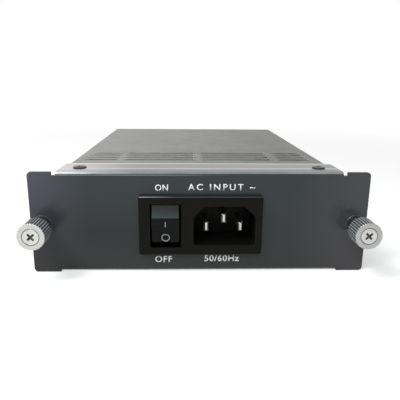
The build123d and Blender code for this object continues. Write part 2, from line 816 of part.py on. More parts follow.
choke_places = {
    "filter_choke": on_board(choke_offset, choke_depth),
    "output_choke": on_board(output_choke_offset, output_choke_depth),
}
for choke_name, place in choke_places.items():
    with BuildPart() as choke_base:
        with Locations(place):
            Box(choke_base_size, choke_base_size, choke_base_height, align=base_align)
    choke_base.part.label = f"{choke_name}_base"
    export_step(choke_base.part, f"parts/{choke_name}_base.step")

    core_lift = choke_base_height + choke_wrap
    with BuildPart() as choke_core:
        with Locations(place * Location((0, 0, core_lift))):
            Cylinder(choke_radius, choke_height, align=base_align)
            Cylinder(choke_hole_radius, choke_height, align=base_align, mode=Mode.SUBTRACT)
    choke_core.part.label = f"{choke_name}_core"
    export_step(choke_core.part, f"parts/{choke_name}_core.step")

    wrap_height = choke_height + 2 * choke_wrap
    wrap_width = 2 * (choke_radius + choke_wrap)
    with BuildPart() as choke_windings:
        with Locations(place * Location((0, 0, choke_base_height))):
            Cylinder(choke_radius + choke_wrap, wrap_height, align=base_align)
            Cylinder(choke_hole_radius - choke_wrap, wrap_height, align=base_align,
                     mode=Mode.SUBTRACT)
            Box(choke_wrap_gap, wrap_width, wrap_height, align=base_align, mode=Mode.SUBTRACT)
        add(choke_core.part, mode=Mode.SUBTRACT)
    choke_windings.part.label = f"{choke_name}_windings"
    export_step(choke_windings.part, f"parts/{choke_name}_windings.step")

with BuildPart() as safety_discs:
    for x in disc_offsets:
        with Locations(on_board(x, disc_depth, disc_radius + disc_lift)):
            Cylinder(disc_radius, disc_thickness, rotation=(0, 90, 0))
        with Locations(on_board(x, disc_depth - disc_radius / 2),
                       on_board(x, disc_depth + disc_radius / 2)):
            Cylinder(disc_leg_radius, disc_radius + disc_lift, align=base_align)
safety_discs.part.label = "safety_discs"
export_step(safety_discs.part, "parts/safety_discs.step")

fuse_place = on_board(fuse_offset, fuse_depth, fuse_height) * Location((0, 0, 0), (0, 90, 0))
cap_shift = (fuse_length - fuse_cap_length) / 2
with BuildPart() as fuse_tube:
    with Locations(fuse_place):
        Cylinder(fuse_radius, fuse_length - fuse_cap_length)
fuse_tube.part.label = "fuse_tube"
export_step(fuse_tube.part, "parts/fuse_tube.step")

with BuildPart() as fuse_caps:
    with Locations(fuse_place):
        with Locations((0, 0, -cap_shift), (0, 0, cap_shift)):
            Cylinder(fuse_cap_radius, fuse_cap_length)
    add(fuse_tube.part, mode=Mode.SUBTRACT)
fuse_caps.part.label = "fuse_caps"
export_step(fuse_caps.part, "parts/fuse_caps.step")

with BuildPart() as fuse_clips:
    for x in (fuse_offset - cap_shift, fuse_offset + cap_shift):
        with Locations(on_board(x, fuse_depth)):
            Box(clip_block_width, clip_block_length, clip_block_height, align=base_align)
        with Locations(on_board(x, fuse_depth, fuse_height)):
            Box(clip_block_width, 2 * fuse_radius, clip_block_height, align=base_align,
                mode=Mode.SUBTRACT)
    with Locations(fuse_place):
        Cylinder(fuse_cap_radius + thread_clearance, fuse_length, mode=Mode.SUBTRACT)
fuse_clips.part.label = "fuse_clips"
export_step(fuse_clips.part, "parts/fuse_clips.step")

# Primary side: bridge rectifier and bulk capacitor
with BuildPart() as bridge_rectifier:
    with Locations(on_board(bridge_offset, bridge_depth, chip_lift)):
        Box(bridge_width, bridge_thickness, bridge_height, align=base_align)
    with Locations(on_board(bridge_offset, bridge_depth)):
        with GridLocations(bridge_width / 4, 0, 4, 1):
            Box(chip_leg_width, chip_leg_width, chip_lift, align=base_align)
bridge_rectifier.part.label = "bridge_rectifier"
export_step(bridge_rectifier.part, "parts/bridge_rectifier.step")

with BuildPart() as bulk_capacitor:
    with Locations(on_board(bulk_offset, bulk_depth)):
        Cylinder(bulk_radius, tall_height, align=base_align)
    fillet(bulk_capacitor.faces().sort_by(Axis.Z)[-1].edges(), bulk_edge_radius)
bulk_capacitor.part.label = "bulk_capacitor"
export_step(bulk_capacitor.part, "parts/bulk_capacitor.step")

# Transformer: a ferrite core with two windows, and the winding on its middle leg
leg_width = core_width / 3
with BuildPart() as transformer_core:
    window_shift = (leg_width + core_window_width) / 2
    with Locations(on_board(core_offset, core_depth)):
        Box(core_width, core_length, tall_height, align=base_align)
        with Locations((-window_shift, 0, tall_height / 2), (window_shift, 0, tall_height / 2)):
            Box(core_window_width, core_length, core_window_height, mode=Mode.SUBTRACT)
transformer_core.part.label = "transformer_core"
export_step(transformer_core.part, "parts/transformer_core.step")

with BuildPart() as transformer_winding:
    with Locations(on_board(core_offset, core_depth, tall_height / 2)):
        Box(leg_width + 2 * core_window_width, core_length + 2 * winding_overhang,
            core_window_height)
        Box(leg_width, core_length, core_window_height, mode=Mode.SUBTRACT)
    fillet(transformer_winding.edges().filter_by(Axis.Z).group_by(Axis.X)[0]
           + transformer_winding.edges().filter_by(Axis.Z).group_by(Axis.X)[-1],
           winding_overhang / 2)
transformer_winding.part.label = "transformer_winding"
export_step(transformer_winding.part, "parts/transformer_winding.step")

# Heatsinks with their power devices and screws
chip_tab_top = chip_lift + chip_body_height + chip_tab_height
chip_hole_z = board_top + chip_tab_top - chip_tab_height / 2
heatsinks = {
    "primary": (-1, primary_sink_depth, "power_transistor"),
    "secondary": (1, secondary_sink_depth, "rectifier_diode"),
}
for sink_name, (side, sink_depth, chip_name) in heatsinks.items():
    inner_x = side * sink_face
    plate_align = (Align.MIN if side > 0 else Align.MAX, Align.CENTER, Align.MIN)
    inward_align = (Align.MAX if side > 0 else Align.MIN, Align.CENTER, Align.MIN)
    hole_place = seat(inner_x, sink_depth, chip_hole_z, (0, 90, 0))
    screw_place = seat(inner_x - side * chip_tab_thickness, sink_depth, chip_hole_z,
                       (0, -side * 90, 0))

    with BuildPart() as heatsink:
        with Locations(on_board(inner_x, sink_depth)):
            Box(sink_thickness, sink_length, tall_height, align=plate_align)
            Box(sink_foot, sink_length, sink_thickness, align=inward_align)
        fin_pitch = tall_height / (2 * sink_fin_count)
        for fin in range(sink_fin_count):
            fin_lift = tall_height - sink_fin_thickness - fin * fin_pitch
            with Locations(on_board(inner_x + side * sink_thickness, sink_depth, fin_lift)):
                Box(sink_fin_reach, sink_length, sink_fin_thickness, align=plate_align)
        with Locations(hole_place):
            Cylinder(chip_screw_radius + thread_clearance, 2 * sink_thickness,
                     mode=Mode.SUBTRACT)
        with Locations(on_board(inner_x, sink_depth)):
            Box(sink_foot, chip_body_width + 2 * chip_side_gap, sink_thickness,
                align=inward_align, mode=Mode.SUBTRACT)
    heatsink.part.label = f"{sink_name}_heatsink"
    export_step(heatsink.part, f"parts/{sink_name}_heatsink.step")

    with BuildPart() as chip:
        with Locations(on_board(inner_x, sink_depth, chip_lift)):
            Box(chip_body_thickness, chip_body_width, chip_body_height, align=inward_align)
            Box(chip_tab_thickness, chip_body_width, chip_body_height + chip_tab_height,
                align=inward_align)
        with Locations(hole_place):
            Cylinder(chip_screw_radius + thread_clearance, 2 * chip_body_thickness,
                     mode=Mode.SUBTRACT)
        with Locations(on_board(inner_x - side * chip_body_thickness / 2, sink_depth)):
            with GridLocations(0, chip_leg_spacing, 1, 3):
                Box(chip_leg_width, chip_leg_width, chip_lift, align=base_align)
    chip.part.label = chip_name
    export_step(chip.part, f"parts/{chip_name}.step")

    with BuildPart() as sink_screw:
        with Locations(screw_place):
            add(chip_screw)
    sink_screw.part.label = f"{sink_name}_sink_screw"
    export_step(sink_screw.part, f"parts/{sink_name}_sink_screw.step")

# Output side: capacitors and control chips
with BuildPart() as output_capacitors:
    with Locations(on_board(output_cap_offset, output_cap_depth)):
        with GridLocations(output_cap_spacing, 0, output_cap_count, 1):
            Cylinder(output_cap_radius, output_cap_height, align=base_align)
output_capacitors.part.label = "output_capacitors"
export_step(output_capacitors.part, "parts/output_capacitors.step")

with BuildPart() as control_chips:
    with Locations(*[on_board(control_chip_offset, place) for place in control_chip_depths]):
        Box(control_chip_width, control_chip_length, control_chip_height, align=base_align)
control_chips.part.label = "control_chips"
export_step(control_chips.part, "parts/control_chips.step")

# Earth stud, ring terminal and nut on the tray's floor
barrel_z = floor_z + ring_barrel_height / 2
ring_reach = ring_radius + ring_barrel_length
with BuildPart() as earth_stud:
    with Locations(seat(earth_stud_offset, earth_stud_depth, floor_z)):
        Cylinder(earth_stud_radius, earth_stud_height, align=base_align)
earth_stud.part.label = "earth_stud"
export_step(earth_stud.part, "parts/earth_stud.step")

with BuildPart() as earth_terminal:
    with Locations(seat(earth_stud_offset, earth_stud_depth, floor_z)):
        Cylinder(ring_radius, ring_thickness, align=base_align)
        Cylinder(earth_stud_radius + through_clearance, ring_thickness, align=base_align,
                 mode=Mode.SUBTRACT)
    with Locations(seat(earth_stud_offset, earth_stud_depth + ring_reach, floor_z)):
        Box(ring_barrel_width, ring_barrel_length, ring_barrel_height,
            align=(Align.CENTER, Align.MAX, Align.MIN))
    with Locations(seat(earth_stud_offset, earth_stud_depth + ring_reach, floor_z)):
        Box(ring_barrel_width, ring_barrel_length + ring_radius / 2, ring_thickness,
            align=(Align.CENTER, Align.MAX, Align.MIN))
earth_terminal.part.label = "earth_terminal"
export_step(earth_terminal.part, "parts/earth_terminal.step")

with BuildPart() as earth_nut:
    with BuildSketch(Plane.XY.offset(floor_z + ring_thickness)):
        with Locations((earth_stud_offset, depth(earth_stud_depth))):
            RegularPolygon(nut_flats / 2, 6, major_radius=False)
            Circle(earth_stud_radius + thread_clearance, mode=Mode.SUBTRACT)
    extrude(amount=nut_height)
earth_nut.part.label = "earth_nut"
export_step(earth_nut.part, "parts/earth_nut.step")

# Leads: from the switch's tabs down to the board, and from the earth pin to its terminal
lead_routes = {
    "live_lead": (lead_bend_radius, [
        (live_tab_x, depth(tab_end), module_height),
        (live_tab_x, depth(lead_landing), module_height),
        (live_tab_x, depth(lead_landing), board_top)]),
    "neutral_lead": (lead_bend_radius, [
        (neutral_tab_x, depth(tab_end), module_height),
        (neutral_tab_x, depth(lead_landing), module_height),
        (neutral_tab_x, depth(lead_landing), board_top)]),
    "earth_lead": (earth_lead_bend_radius, [
        (inlet_offset, depth(tab_end), earth_pin_z),
        (inlet_offset, depth(earth_lead_depth), earth_pin_z),
        (earth_stud_offset, depth(earth_lead_depth), earth_pin_z),
        (earth_stud_offset, depth(earth_lead_depth), barrel_z),
        (earth_stud_offset, depth(earth_stud_depth + ring_reach), barrel_z)]),
}
for lead_name, (bend_radius, route) in lead_routes.items():
    with BuildPart() as lead:
        with BuildLine() as lead_path:
            path = FilletPolyline(*route, radius=bend_radius)
        with BuildSketch(Plane(origin=path @ 0, z_dir=path % 0)):
            Circle(lead_radius)
        sweep(path=lead_path.line)
    lead.part.label = lead_name
    export_step(lead.part, f"parts/{lead_name}.step")
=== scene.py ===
"""Redundant power supply: the visual layer of a slide-in server power module.

Laid out as an add-on: settings, one operator for each piece or group of like pieces, one for the
stage, and a panel in the 3D view's sidebar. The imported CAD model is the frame, in metres.
"""
import math

import bmesh
import bpy
from mathutils import Matrix, Vector


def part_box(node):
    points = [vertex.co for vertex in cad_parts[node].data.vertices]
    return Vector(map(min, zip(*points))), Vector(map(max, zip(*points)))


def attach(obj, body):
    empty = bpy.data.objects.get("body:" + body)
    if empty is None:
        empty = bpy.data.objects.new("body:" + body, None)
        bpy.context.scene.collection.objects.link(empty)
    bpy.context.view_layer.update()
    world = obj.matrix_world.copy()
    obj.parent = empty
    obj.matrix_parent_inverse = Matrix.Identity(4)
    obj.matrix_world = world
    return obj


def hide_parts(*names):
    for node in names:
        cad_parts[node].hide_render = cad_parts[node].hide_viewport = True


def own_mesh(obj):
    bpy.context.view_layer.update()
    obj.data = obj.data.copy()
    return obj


bl_info = {
    "name": "Redundant power supply",
    "version": (1, 0, 0),
    "blender": (4, 5, 0),
    "location": "3D View > Sidebar > Power supply",
    "description": "Builds the visual layer of a slide-in server power supply on its CAD frame",
    "category": "Object",
}

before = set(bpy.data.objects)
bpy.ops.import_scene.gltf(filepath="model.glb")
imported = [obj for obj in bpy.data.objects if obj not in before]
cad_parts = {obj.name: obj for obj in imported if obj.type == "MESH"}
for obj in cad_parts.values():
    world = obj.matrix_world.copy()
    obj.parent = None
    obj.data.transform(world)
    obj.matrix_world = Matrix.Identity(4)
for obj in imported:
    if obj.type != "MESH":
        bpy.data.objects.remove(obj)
MM = 0.001
SIDES = ("left", "right")
FORWARD = Vector((0, -1, 0))


# Places taken from the CAD frame
def middle(node):
    """The centre of a CAD node's box."""
    low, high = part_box(node)
    return (low + high) / 2


def extent(node):
    """The size of a CAD node's box."""
    low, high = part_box(node)
    return high - low


PANEL_LOW, PANEL_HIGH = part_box("front_panel")
BEZEL_LOW, BEZEL_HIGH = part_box("inlet_housing")
FACE_Y = PANEL_LOW.y
PANEL_TOP = PANEL_HIGH.z
FLANGE_HALF = 56.5 * MM
FLANGE_DEPTH = 19.0 * MM
BEND = 1.5 * MM


# Node trees
def rgba(colour):
    """A colour with its alpha; a single number gives a grey."""
    return (*colour, 1.0) if isinstance(colour, tuple) else (colour, colour, colour, 1.0)


def scaled(colour, share):
    """A colour made darker or lighter."""
    return tuple(part * share for part in colour)


class Graph:
    """Builds a node tree: add makes a node, result gives its first output, feed sets a socket."""

    def __init__(self, tree):
        self.tree = tree

    def feed(self, socket, value):
        if isinstance(value, bpy.types.NodeSocket):
            self.tree.links.new(value, socket)
        else:
            socket.default_value = value

    def add(self, kind, feeds=None, **settings):
        node = self.tree.nodes.new(kind)
        for name, value in settings.items():
            setattr(node, name, value)
        for name, value in (feeds or {}).items():
            self.feed(node.inputs[name], value)
        return node

    def result(self, kind, feeds=None, **settings):
        return self.add(kind, feeds, **settings).outputs[0]

    def math(self, operation, *values, clamp=False):
        return self.result("ShaderNodeMath", dict(enumerate(values)), operation=operation,
                           use_clamp=clamp)

    def times(self, first, second):
        return self.math("MULTIPLY", first, second)

    def over(self, first, second):
        return self.math("DIVIDE", first, second)

    def plus(self, first, second):
        return self.math("ADD", first, second)

    def minus(self, first, second):
        return self.math("SUBTRACT", first, second)

    def above(self, value, limit):
        return self.math("GREATER_THAN", value, limit)

    def below(self, value, limit):
        return self.math("LESS_THAN", value, limit)

    def rise(self, value, start, end):
        """0 where the value is at the start, 1 where it is at the end, and held beyond both."""
        slope = 1.0 / (end - start)
        return self.math("MULTIPLY_ADD", value, slope, -start * slope, clamp=True)

    def split(self, vector):
        return self.add("ShaderNodeSeparateXYZ", {"Vector": vector}).outputs

    def join(self, x=0.0, y=0.0, z=0.0):
        return self.result("ShaderNodeCombineXYZ", {"X": x, "Y": y, "Z": z})

    def ramp(self, factor, stops):
        node = self.add("ShaderNodeValToRGB", {"Fac": factor})
        points = node.color_ramp.elements
        while len(points) < len(stops):
            points.new(0.5)
        for point, (place, value) in zip(points, stops):
            point.position = place
            point.color = rgba(value)
        return node.outputs["Color"]

    def between(self, factor, first, second):
        """The first tone up to a factor of 0.3 and the second from 0.7, where noise mostly lies."""
        return self.ramp(factor, [(0.3, first), (0.7, second)])

    def mix_colour(self, factor, first, second):
        first, second = (tone if isinstance(tone, bpy.types.NodeSocket) else rgba(tone)
                         for tone in (first, second))
        return self.add("ShaderNodeMix", {0: factor, 6: first, 7: second},
                        data_type="RGBA").outputs[2]

    def mix_value(self, factor, first, second):
        return self.result("ShaderNodeMix", {0: factor, 2: first, 3: second}, data_type="FLOAT")

    def seen_rays(self):
        """1 for camera, glossy and transmission rays, which see the background as it is."""
        rays = self.add("ShaderNodeLightPath").outputs
        mirrored = self.math("MAXIMUM", rays["Is Glossy Ray"], rays["Is Transmission Ray"])
        return self.math("MAXIMUM", rays["Is Camera Ray"], mirrored)

    def arrange(self):
        """Lays the nodes out in columns, from the inputs on the left to the output."""
        column = {node: 0 for node in self.tree.nodes}
        for _ in range(len(column)):
            moved = False
            for link in self.tree.links:
                wanted = column[link.from_node] + 1
                if column[link.to_node] < wanted:
                    column[link.to_node] = wanted
                    moved = True
            if not moved:
                break
        rows = {}
        for node, place in column.items():
            row = rows.get(place, 0)
            node.location = (place * 220, -row * 180)
            rows[place] = row + 1


# Materials
class Finish(Graph):
    """A node material made anew, with its Principled shader and object coordinates.

    The frame brings a plain material for each slot, and the finish of that name takes it over.
    """

    def __init__(self, name):
        self.material = bpy.data.materials.get(name) or bpy.data.materials.new(name)
        self.material.use_nodes = True
        super().__init__(self.material.node_tree)
        self.tree.nodes.clear()
        self.shader = self.add("ShaderNodeBsdfPrincipled")
        self.output = self.add("ShaderNodeOutputMaterial", {"Surface": self.shader.outputs[0]})
        self.place = self.add("ShaderNodeTexCoord").outputs["Object"]

    def noise(self, scale, detail=3.0, stretch=(1.0, 1.0, 1.0)):
        """A noise value, with its scale in cycles per metre."""
        place = self.result("ShaderNodeVectorMath", {0: self.place, 1: stretch},
                            operation="MULTIPLY")
        return self.add("ShaderNodeTexNoise", {"Vector": place, "Scale": scale, "Detail": detail,
                                               "Roughness": 0.55}).outputs["Fac"]

    def cells(self, scale, label, distance="EUCLIDEAN"):
        """An output of cells scattered over the object, with their scale in cells per metre."""
        return self.add("ShaderNodeTexVoronoi", {"Vector": self.place, "Scale": scale},
                        distance=distance).outputs[label]

    def surface(self, sockets, height=None, depth=0.0):
        """Feeds the shader's sockets by name, and its normal from a height, depth in metres."""
        for label, value in sockets.items():
            self.feed(self.shader.inputs[label], value)
        if height is not None:
            bump = self.result("ShaderNodeBump", {"Height": height, "Distance": depth})
            self.feed(self.shader.inputs["Normal"], bump)
        self.arrange()


def even_finish(name, colour, roughness, scale=700.0, stretch=(1.0, 1.0, 1.0), tone=0.12,
                spread=0.08, relief=0.004, **sockets):
    """A finish with mottled tone, uneven gloss and fine relief; relief is in millimetres."""
    graph = Finish(name)
    broad = graph.noise(scale * 0.15, stretch=stretch)
    fine = graph.noise(scale, detail=5.0, stretch=stretch)
    graph.surface({
        "Base Color": graph.between(broad, scaled(colour, 1.0 - tone), scaled(colour, 1.0 + tone)),
        "Roughness": graph.between(fine, roughness - spread, roughness + spread),
        **sockets}, fine, relief * MM)


EVEN_FINISHES = [
    ("panel_print", (0.8, 0.82, 0.83), 0.5, {"tone": 0.06, "relief": 0.002}),
    ("black_steel", (0.012, 0.012, 0.013), 0.34,
     {"Metallic": 0.3, "scale": 1200.0, "relief": 0.006}),
    ("rocker_plastic", (0.0035, 0.0036, 0.0035), 0.3,
     {"scale": 900.0, "relief": 0.003, "Specular IOR Level": 0.1}),
    ("mark_print", (0.30, 0.31, 0.31), 0.5, {"relief": 0.002}),
    ("pin_metal", (0.55, 0.53, 0.5), 0.3,
     {"Metallic": 1.0, "scale": 900.0, "stretch": (1.0, 0.1, 1.0), "relief": 0.003}),
    ("ferrule_steel", (0.13, 0.145, 0.145), 0.4,
     {"Metallic": 1.0, "scale": 1200.0, "relief": 0.003}),
    ("recess_shade", (0.17, 0.16, 0.16), 0.7, {"scale": 1500.0, "Specular IOR Level": 0.12}),
    ("screw_steel", (0.56, 0.56, 0.55), 0.3,
     {"Metallic": 1.0, "scale": 1300.0, "tone": 0.1, "relief": 0.003}),
    ("spring_steel", (0.42, 0.42, 0.42), 0.28,
     {"Metallic": 1.0, "scale": 1600.0, "relief": 0.003}),
    ("contact_gold", (0.83, 0.6, 0.22), 0.24,
     {"Metallic": 1.0, "scale": 1200.0, "relief": 0.003}),
    ("insulator", (0.66, 0.66, 0.6), 0.5, {"scale": 300.0, "relief": 0.02}),
    ("standoff_brass", (0.68, 0.5, 0.2), 0.3,
     {"Metallic": 1.0, "scale": 1100.0, "stretch": (0.2, 0.2, 1.0)}),
    ("film_yellow", (0.55, 0.38, 0.06), 0.38, {"scale": 800.0, "relief": 0.01}),
    ("tape_yellow", (0.6, 0.46, 0.1), 0.3,
     {"scale": 250.0, "stretch": (0.3, 0.3, 3.0), "relief": 0.03}),
    ("ferrite", (0.02, 0.021, 0.023), 0.5, {"Metallic": 0.2, "scale": 1500.0, "relief": 0.02}),
    ("enamelled_wire", (0.5, 0.16, 0.045), 0.26, {"Metallic": 0.85, "relief": 0.005}),
    ("dark_plastic", (0.016, 0.016, 0.017), 0.5, {"scale": 1600.0, "relief": 0.015}),
    ("disc_blue", (0.03, 0.12, 0.4), 0.22, {"scale": 500.0, "relief": 0.01}),
    ("fuse_glass", (0.9, 0.95, 0.95), 0.06,
     {"tone": 0.03, "spread": 0.03, "relief": 0.001, "Transmission Weight": 0.9, "IOR": 1.5}),
    ("sink_aluminium", (0.6, 0.6, 0.61), 0.36,
     {"Metallic": 1.0, "scale": 900.0, "stretch": (1.0, 0.05, 1.0), "relief": 0.01}),
]


def bare_zone(graph, x, z, behind, reach):
    """1 on the flanges, and on their bends past the paint's uneven edge, which reach places."""
    wander = 0.16 * MM
    blur = 0.08 * MM
    edge = graph.math("MULTIPLY_ADD", graph.noise(260.0, detail=4.0), wander, reach - wander / 2)
    bend = graph.rise(graph.minus(behind, edge), 0.0, blur)
    from_middle = graph.math("ABSOLUTE", graph.minus(z, PANEL_TOP / 2))
    rim = graph.above(from_middle, PANEL_TOP / 2 - BEND)
    inside = graph.below(graph.math("ABSOLUTE", x), FLANGE_HALF + 0.2 * MM)
    bend = graph.times(bend, graph.times(rim, inside))
    return graph.math("MAXIMUM", bend, graph.times(graph.above(behind, BEND), inside))


def paint_tone_with_painted_light(graph, x, height, settings):
    """Dark cloudy paint that shifts from the lower colour to the upper one, with painted shade
    darkest in a band across the middle, stronger towards the left, and painted light making it
    paler out on both ears, most on the upper left ear.
    """
    tone = graph.mix_colour(height, tuple(settings.paint_low), tuple(settings.paint_high))
    # Painted shade: a darker band across the middle of the face, stronger towards the left.
    painted_shade_belt_height, painted_shade_belt_reach = 0.42, 5 / 12
    from_belt = graph.math("ABSOLUTE", graph.minus(height, painted_shade_belt_height))
    painted_shade_belt = graph.times(graph.rise(from_belt, painted_shade_belt_reach, 0.0), graph.rise(x, 44 * MM, -36 * MM))
    tone = graph.mix_colour(graph.times(painted_shade_belt, 0.6), tone, 0.006)
    cloud = graph.times(graph.noise(60.0), 0.15)
    tone = graph.mix_colour(cloud, tone, (0.04, 0.043, 0.046))
    # Painted light: the upper left ear and the right ear are made paler.
    painted_light_left_ear = graph.times(graph.rise(x, -44 * MM, -66 * MM), height)
    tone = graph.mix_colour(graph.times(painted_light_left_ear, 0.8), tone, (0.07, 0.067, 0.09))
    painted_light_right_ear = graph.rise(x, 36.4 * MM, 62.4 * MM)
    return graph.mix_colour(graph.times(painted_light_right_ear, 0.6), tone, (0.062, 0.058, 0.063))


def flange_zinc_with_painted_light(graph, x, behind, grain, from_line, line):
    """Bare zinc with painted light: painted shade darkens it in front of the scored line, it is
    plain behind it, a painted highlight brightens the line and the rear edge, and painted light
    makes it paler towards the left end.
    """
    # Painted shade: the strip in front of the scored line is darker.
    painted_shade_front = graph.between(grain, (0.22, 0.22, 0.225), (0.29, 0.29, 0.295))
    clean = graph.between(grain, 0.25, 0.32)
    tone = graph.mix_colour(graph.rise(from_line, -0.8 * MM, 0.8 * MM), painted_shade_front, clean)
    # Painted highlight along the scored line.
    tone = graph.mix_colour(line, tone, 0.72)
    # Painted highlight along the flange's rear edge.
    painted_highlight_brim = graph.rise(behind, FLANGE_DEPTH - 1.6 * MM, FLANGE_DEPTH - 0.8 * MM)
    tone = graph.mix_colour(painted_highlight_brim, tone, 0.7)
    # Painted light: paler towards the left end.
    painted_light_left_end = graph.rise(x, -27 * MM, -57 * MM)
    return graph.mix_colour(graph.times(painted_light_left_end, 0.6), tone, (0.85, 0.82, 0.83))


def panel_finish(settings):
    """Dark gloss paint on the face, with painted light and shade; the flanges are bare, with a
    scored line that is raised in the bump and carries a painted highlight, and a front strip
    darkened by painted shade.
    """
    graph = Finish("panel_paint")
    x, y, z = graph.split(graph.place)
    behind = graph.minus(y, FACE_Y)
    bare = bare_zone(graph, x, z, behind, settings.paint_reach)
    from_line = graph.minus(behind, settings.score_line)
    # The scored line's mask: it raises the bump and brightens the zinc as a painted highlight.
    line = graph.rise(graph.math("ABSOLUTE", from_line), 0.9 * MM, 0.0)
    orange_peel = graph.noise(1400.0, detail=2.0)
    grain = graph.noise(500.0, detail=5.0, stretch=(0.15, 1.0, 1.0))
    # The paint's colour and the flanges' zinc both carry painted light and shade.
    paint = paint_tone_with_painted_light(graph, x, graph.rise(z, 0.0, PANEL_TOP), settings)
    zinc = flange_zinc_with_painted_light(graph, x, behind, grain, from_line, line)
    gloss, uneven = settings.paint_roughness, 0.03
    paint_gloss = graph.between(orange_peel, gloss - uneven, gloss + uneven)
    graph.surface({
        "Base Color": graph.mix_colour(bare, paint, zinc),
        "Metallic": bare,
        "Roughness": graph.mix_colour(bare, paint_gloss, graph.between(grain, 0.32, 0.5)),
        "Specular IOR Level": 0.27,
    }, graph.plus(graph.times(orange_peel, 0.3), line), 0.01 * MM)


def zinc_finish(settings):
    """Zinc-coated sheet: faint spangle, rolling lines and a satin sheen, with painted light making
    the sheet up to twice as pale towards the left.
    """
    graph = Finish("case_zinc")
    spangle = graph.split(graph.cells(150.0, "Color"))[0]
    rolled = graph.noise(900.0, detail=4.0, stretch=(1.0, 0.06, 1.0))
    tone = graph.math("MULTIPLY_ADD", spangle, 0.25, graph.times(rolled, 0.45))
    tone = graph.math("MULTIPLY_ADD", graph.noise(35.0), 0.35, tone)
    sheet = graph.ramp(tone, [(0.3, scaled(settings.zinc, 0.86)),
                              (0.75, scaled(settings.zinc, 1.12))])
    # Painted light: the sheet grows paler towards the left.
    left = graph.times(graph.rise(graph.split(graph.place)[0], 41.8 * MM, -68.2 * MM), 0.5)
    gloss, uneven = settings.zinc_roughness, 0.07
    graph.surface({
        "Base Color": graph.mix_colour(left, sheet, scaled(settings.zinc, 2.0)),
        "Metallic": 1.0,
        "Roughness": graph.ramp(tone, [(0.2, gloss - uneven), (0.8, gloss + uneven)]),
        "Specular Tint": rgba(0.5),
    }, rolled, 0.004 * MM)


def board_finish():
    """Green solder mask with traces and plated holes."""
    graph = Finish("board_green")
    trace = graph.ramp(graph.cells(260.0, "Distance", "CHEBYCHEV"), [(0.32, 1.0), (0.36, 0.0)])
    hole = graph.ramp(graph.cells(330.0, "Distance"), [(0.10, 1.0), (0.14, 0.0)])
    mask = graph.mix_colour(trace, (0.012, 0.11, 0.035), (0.03, 0.2, 0.07))
    weave = graph.noise(2500.0, stretch=(1.0, 1.0, 0.2))
    graph.surface({
        "Base Color": graph.mix_colour(hole, mask, (0.6, 0.58, 0.5)),
        "Metallic": graph.times(hole, 0.9),
        "Roughness": graph.between(weave, 0.28, 0.42),
    }, graph.plus(trace, graph.times(weave, 0.3)), 0.02 * MM)


def sleeve_finish():
    """Dark shrink sleeve with dashed pale stripes down it and a silver top."""
    graph = Finish("sleeve")
    x, _, z = graph.split(graph.place)
    stripes_per_metre, dashes_per_metre = 40.0, 160.0
    stripe = graph.ramp(graph.math("FRACT", graph.times(x, stripes_per_metre)),
                        [(0.42, 0.0), (0.44, 1.0), (0.54, 1.0), (0.56, 0.0)])
    dash = graph.above(graph.math("FRACT", graph.times(z, dashes_per_metre)), 0.5)
    facing = graph.split(graph.add("ShaderNodeNewGeometry").outputs["Normal"])[2]
    top = graph.above(facing, 0.8)
    body = graph.mix_colour(graph.times(stripe, dash), (0.012, 0.015, 0.035), (0.35, 0.36, 0.4))
    ripple = graph.noise(500.0)
    graph.surface({"Base Color": graph.mix_colour(top, body, 0.5), "Metallic": top,
                   "Roughness": graph.between(ripple, 0.2, 0.36)}, ripple, 0.02 * MM)


def plastic_finish():
    """Black moulded plastic with a fine grain; painted light makes the bezel's top face paler, and
    a painted highlight runs along its upper front edge, brightest at the left.
    """
    graph = Finish("black_plastic")
    x, y, z = graph.split(graph.place)
    fine = graph.noise(2200.0, detail=5.0)
    tone = graph.between(fine, (0.0038, 0.0036, 0.0032), (0.0052, 0.0049, 0.0044))
    # Painted light: the bezel's top face is a little paler.
    top = graph.times(graph.above(z, BEZEL_HIGH.z - 0.08 * MM), graph.below(y, FACE_Y + 0.1 * MM))
    # Painted highlight along the upper front edge, fading from the left corner.
    edge = graph.times(graph.above(z, BEZEL_HIGH.z - 0.3 * MM),
                       graph.below(y, BEZEL_LOW.y + 0.3 * MM))
    corner = graph.rise(x, BEZEL_LOW.x + 14 * MM, BEZEL_LOW.x)
    bright = graph.mix_colour(corner, (0.04, 0.05, 0.05), (0.28, 0.29, 0.3))
    tone = graph.mix_colour(top, tone, (0.014, 0.018, 0.019))
    graph.surface({"Base Color": graph.mix_colour(edge, tone, bright),
                   "Roughness": graph.between(fine, 0.34, 0.48),
                   "Specular IOR Level": 0.08}, fine, 0.008 * MM)


def facet_finish():
    """The rocker's upper facet with painted light: paler green-grey at its lower edge, where the
    attribute fade is 0, and darkened by painted shade towards the top.
    """
    graph = Finish("rocker_facet")
    fade = graph.add("ShaderNodeAttribute", attribute_name="fade").outputs["Fac"]
    uneven = graph.minus(graph.noise(500.0), 0.5)
    fade = graph.math("MULTIPLY_ADD", uneven, 0.25, fade)
    # Painted light at the facet's lower edge, painted shade towards its top.
    tone = graph.ramp(fade, [(0.05, (0.055, 0.086, 0.078)), (0.4, (0.022, 0.032, 0.031)),
                             (0.85, (0.004, 0.0045, 0.0045))])
    graph.surface({"Base Color": tone, "Roughness": 0.32, "Specular IOR Level": 0.09})


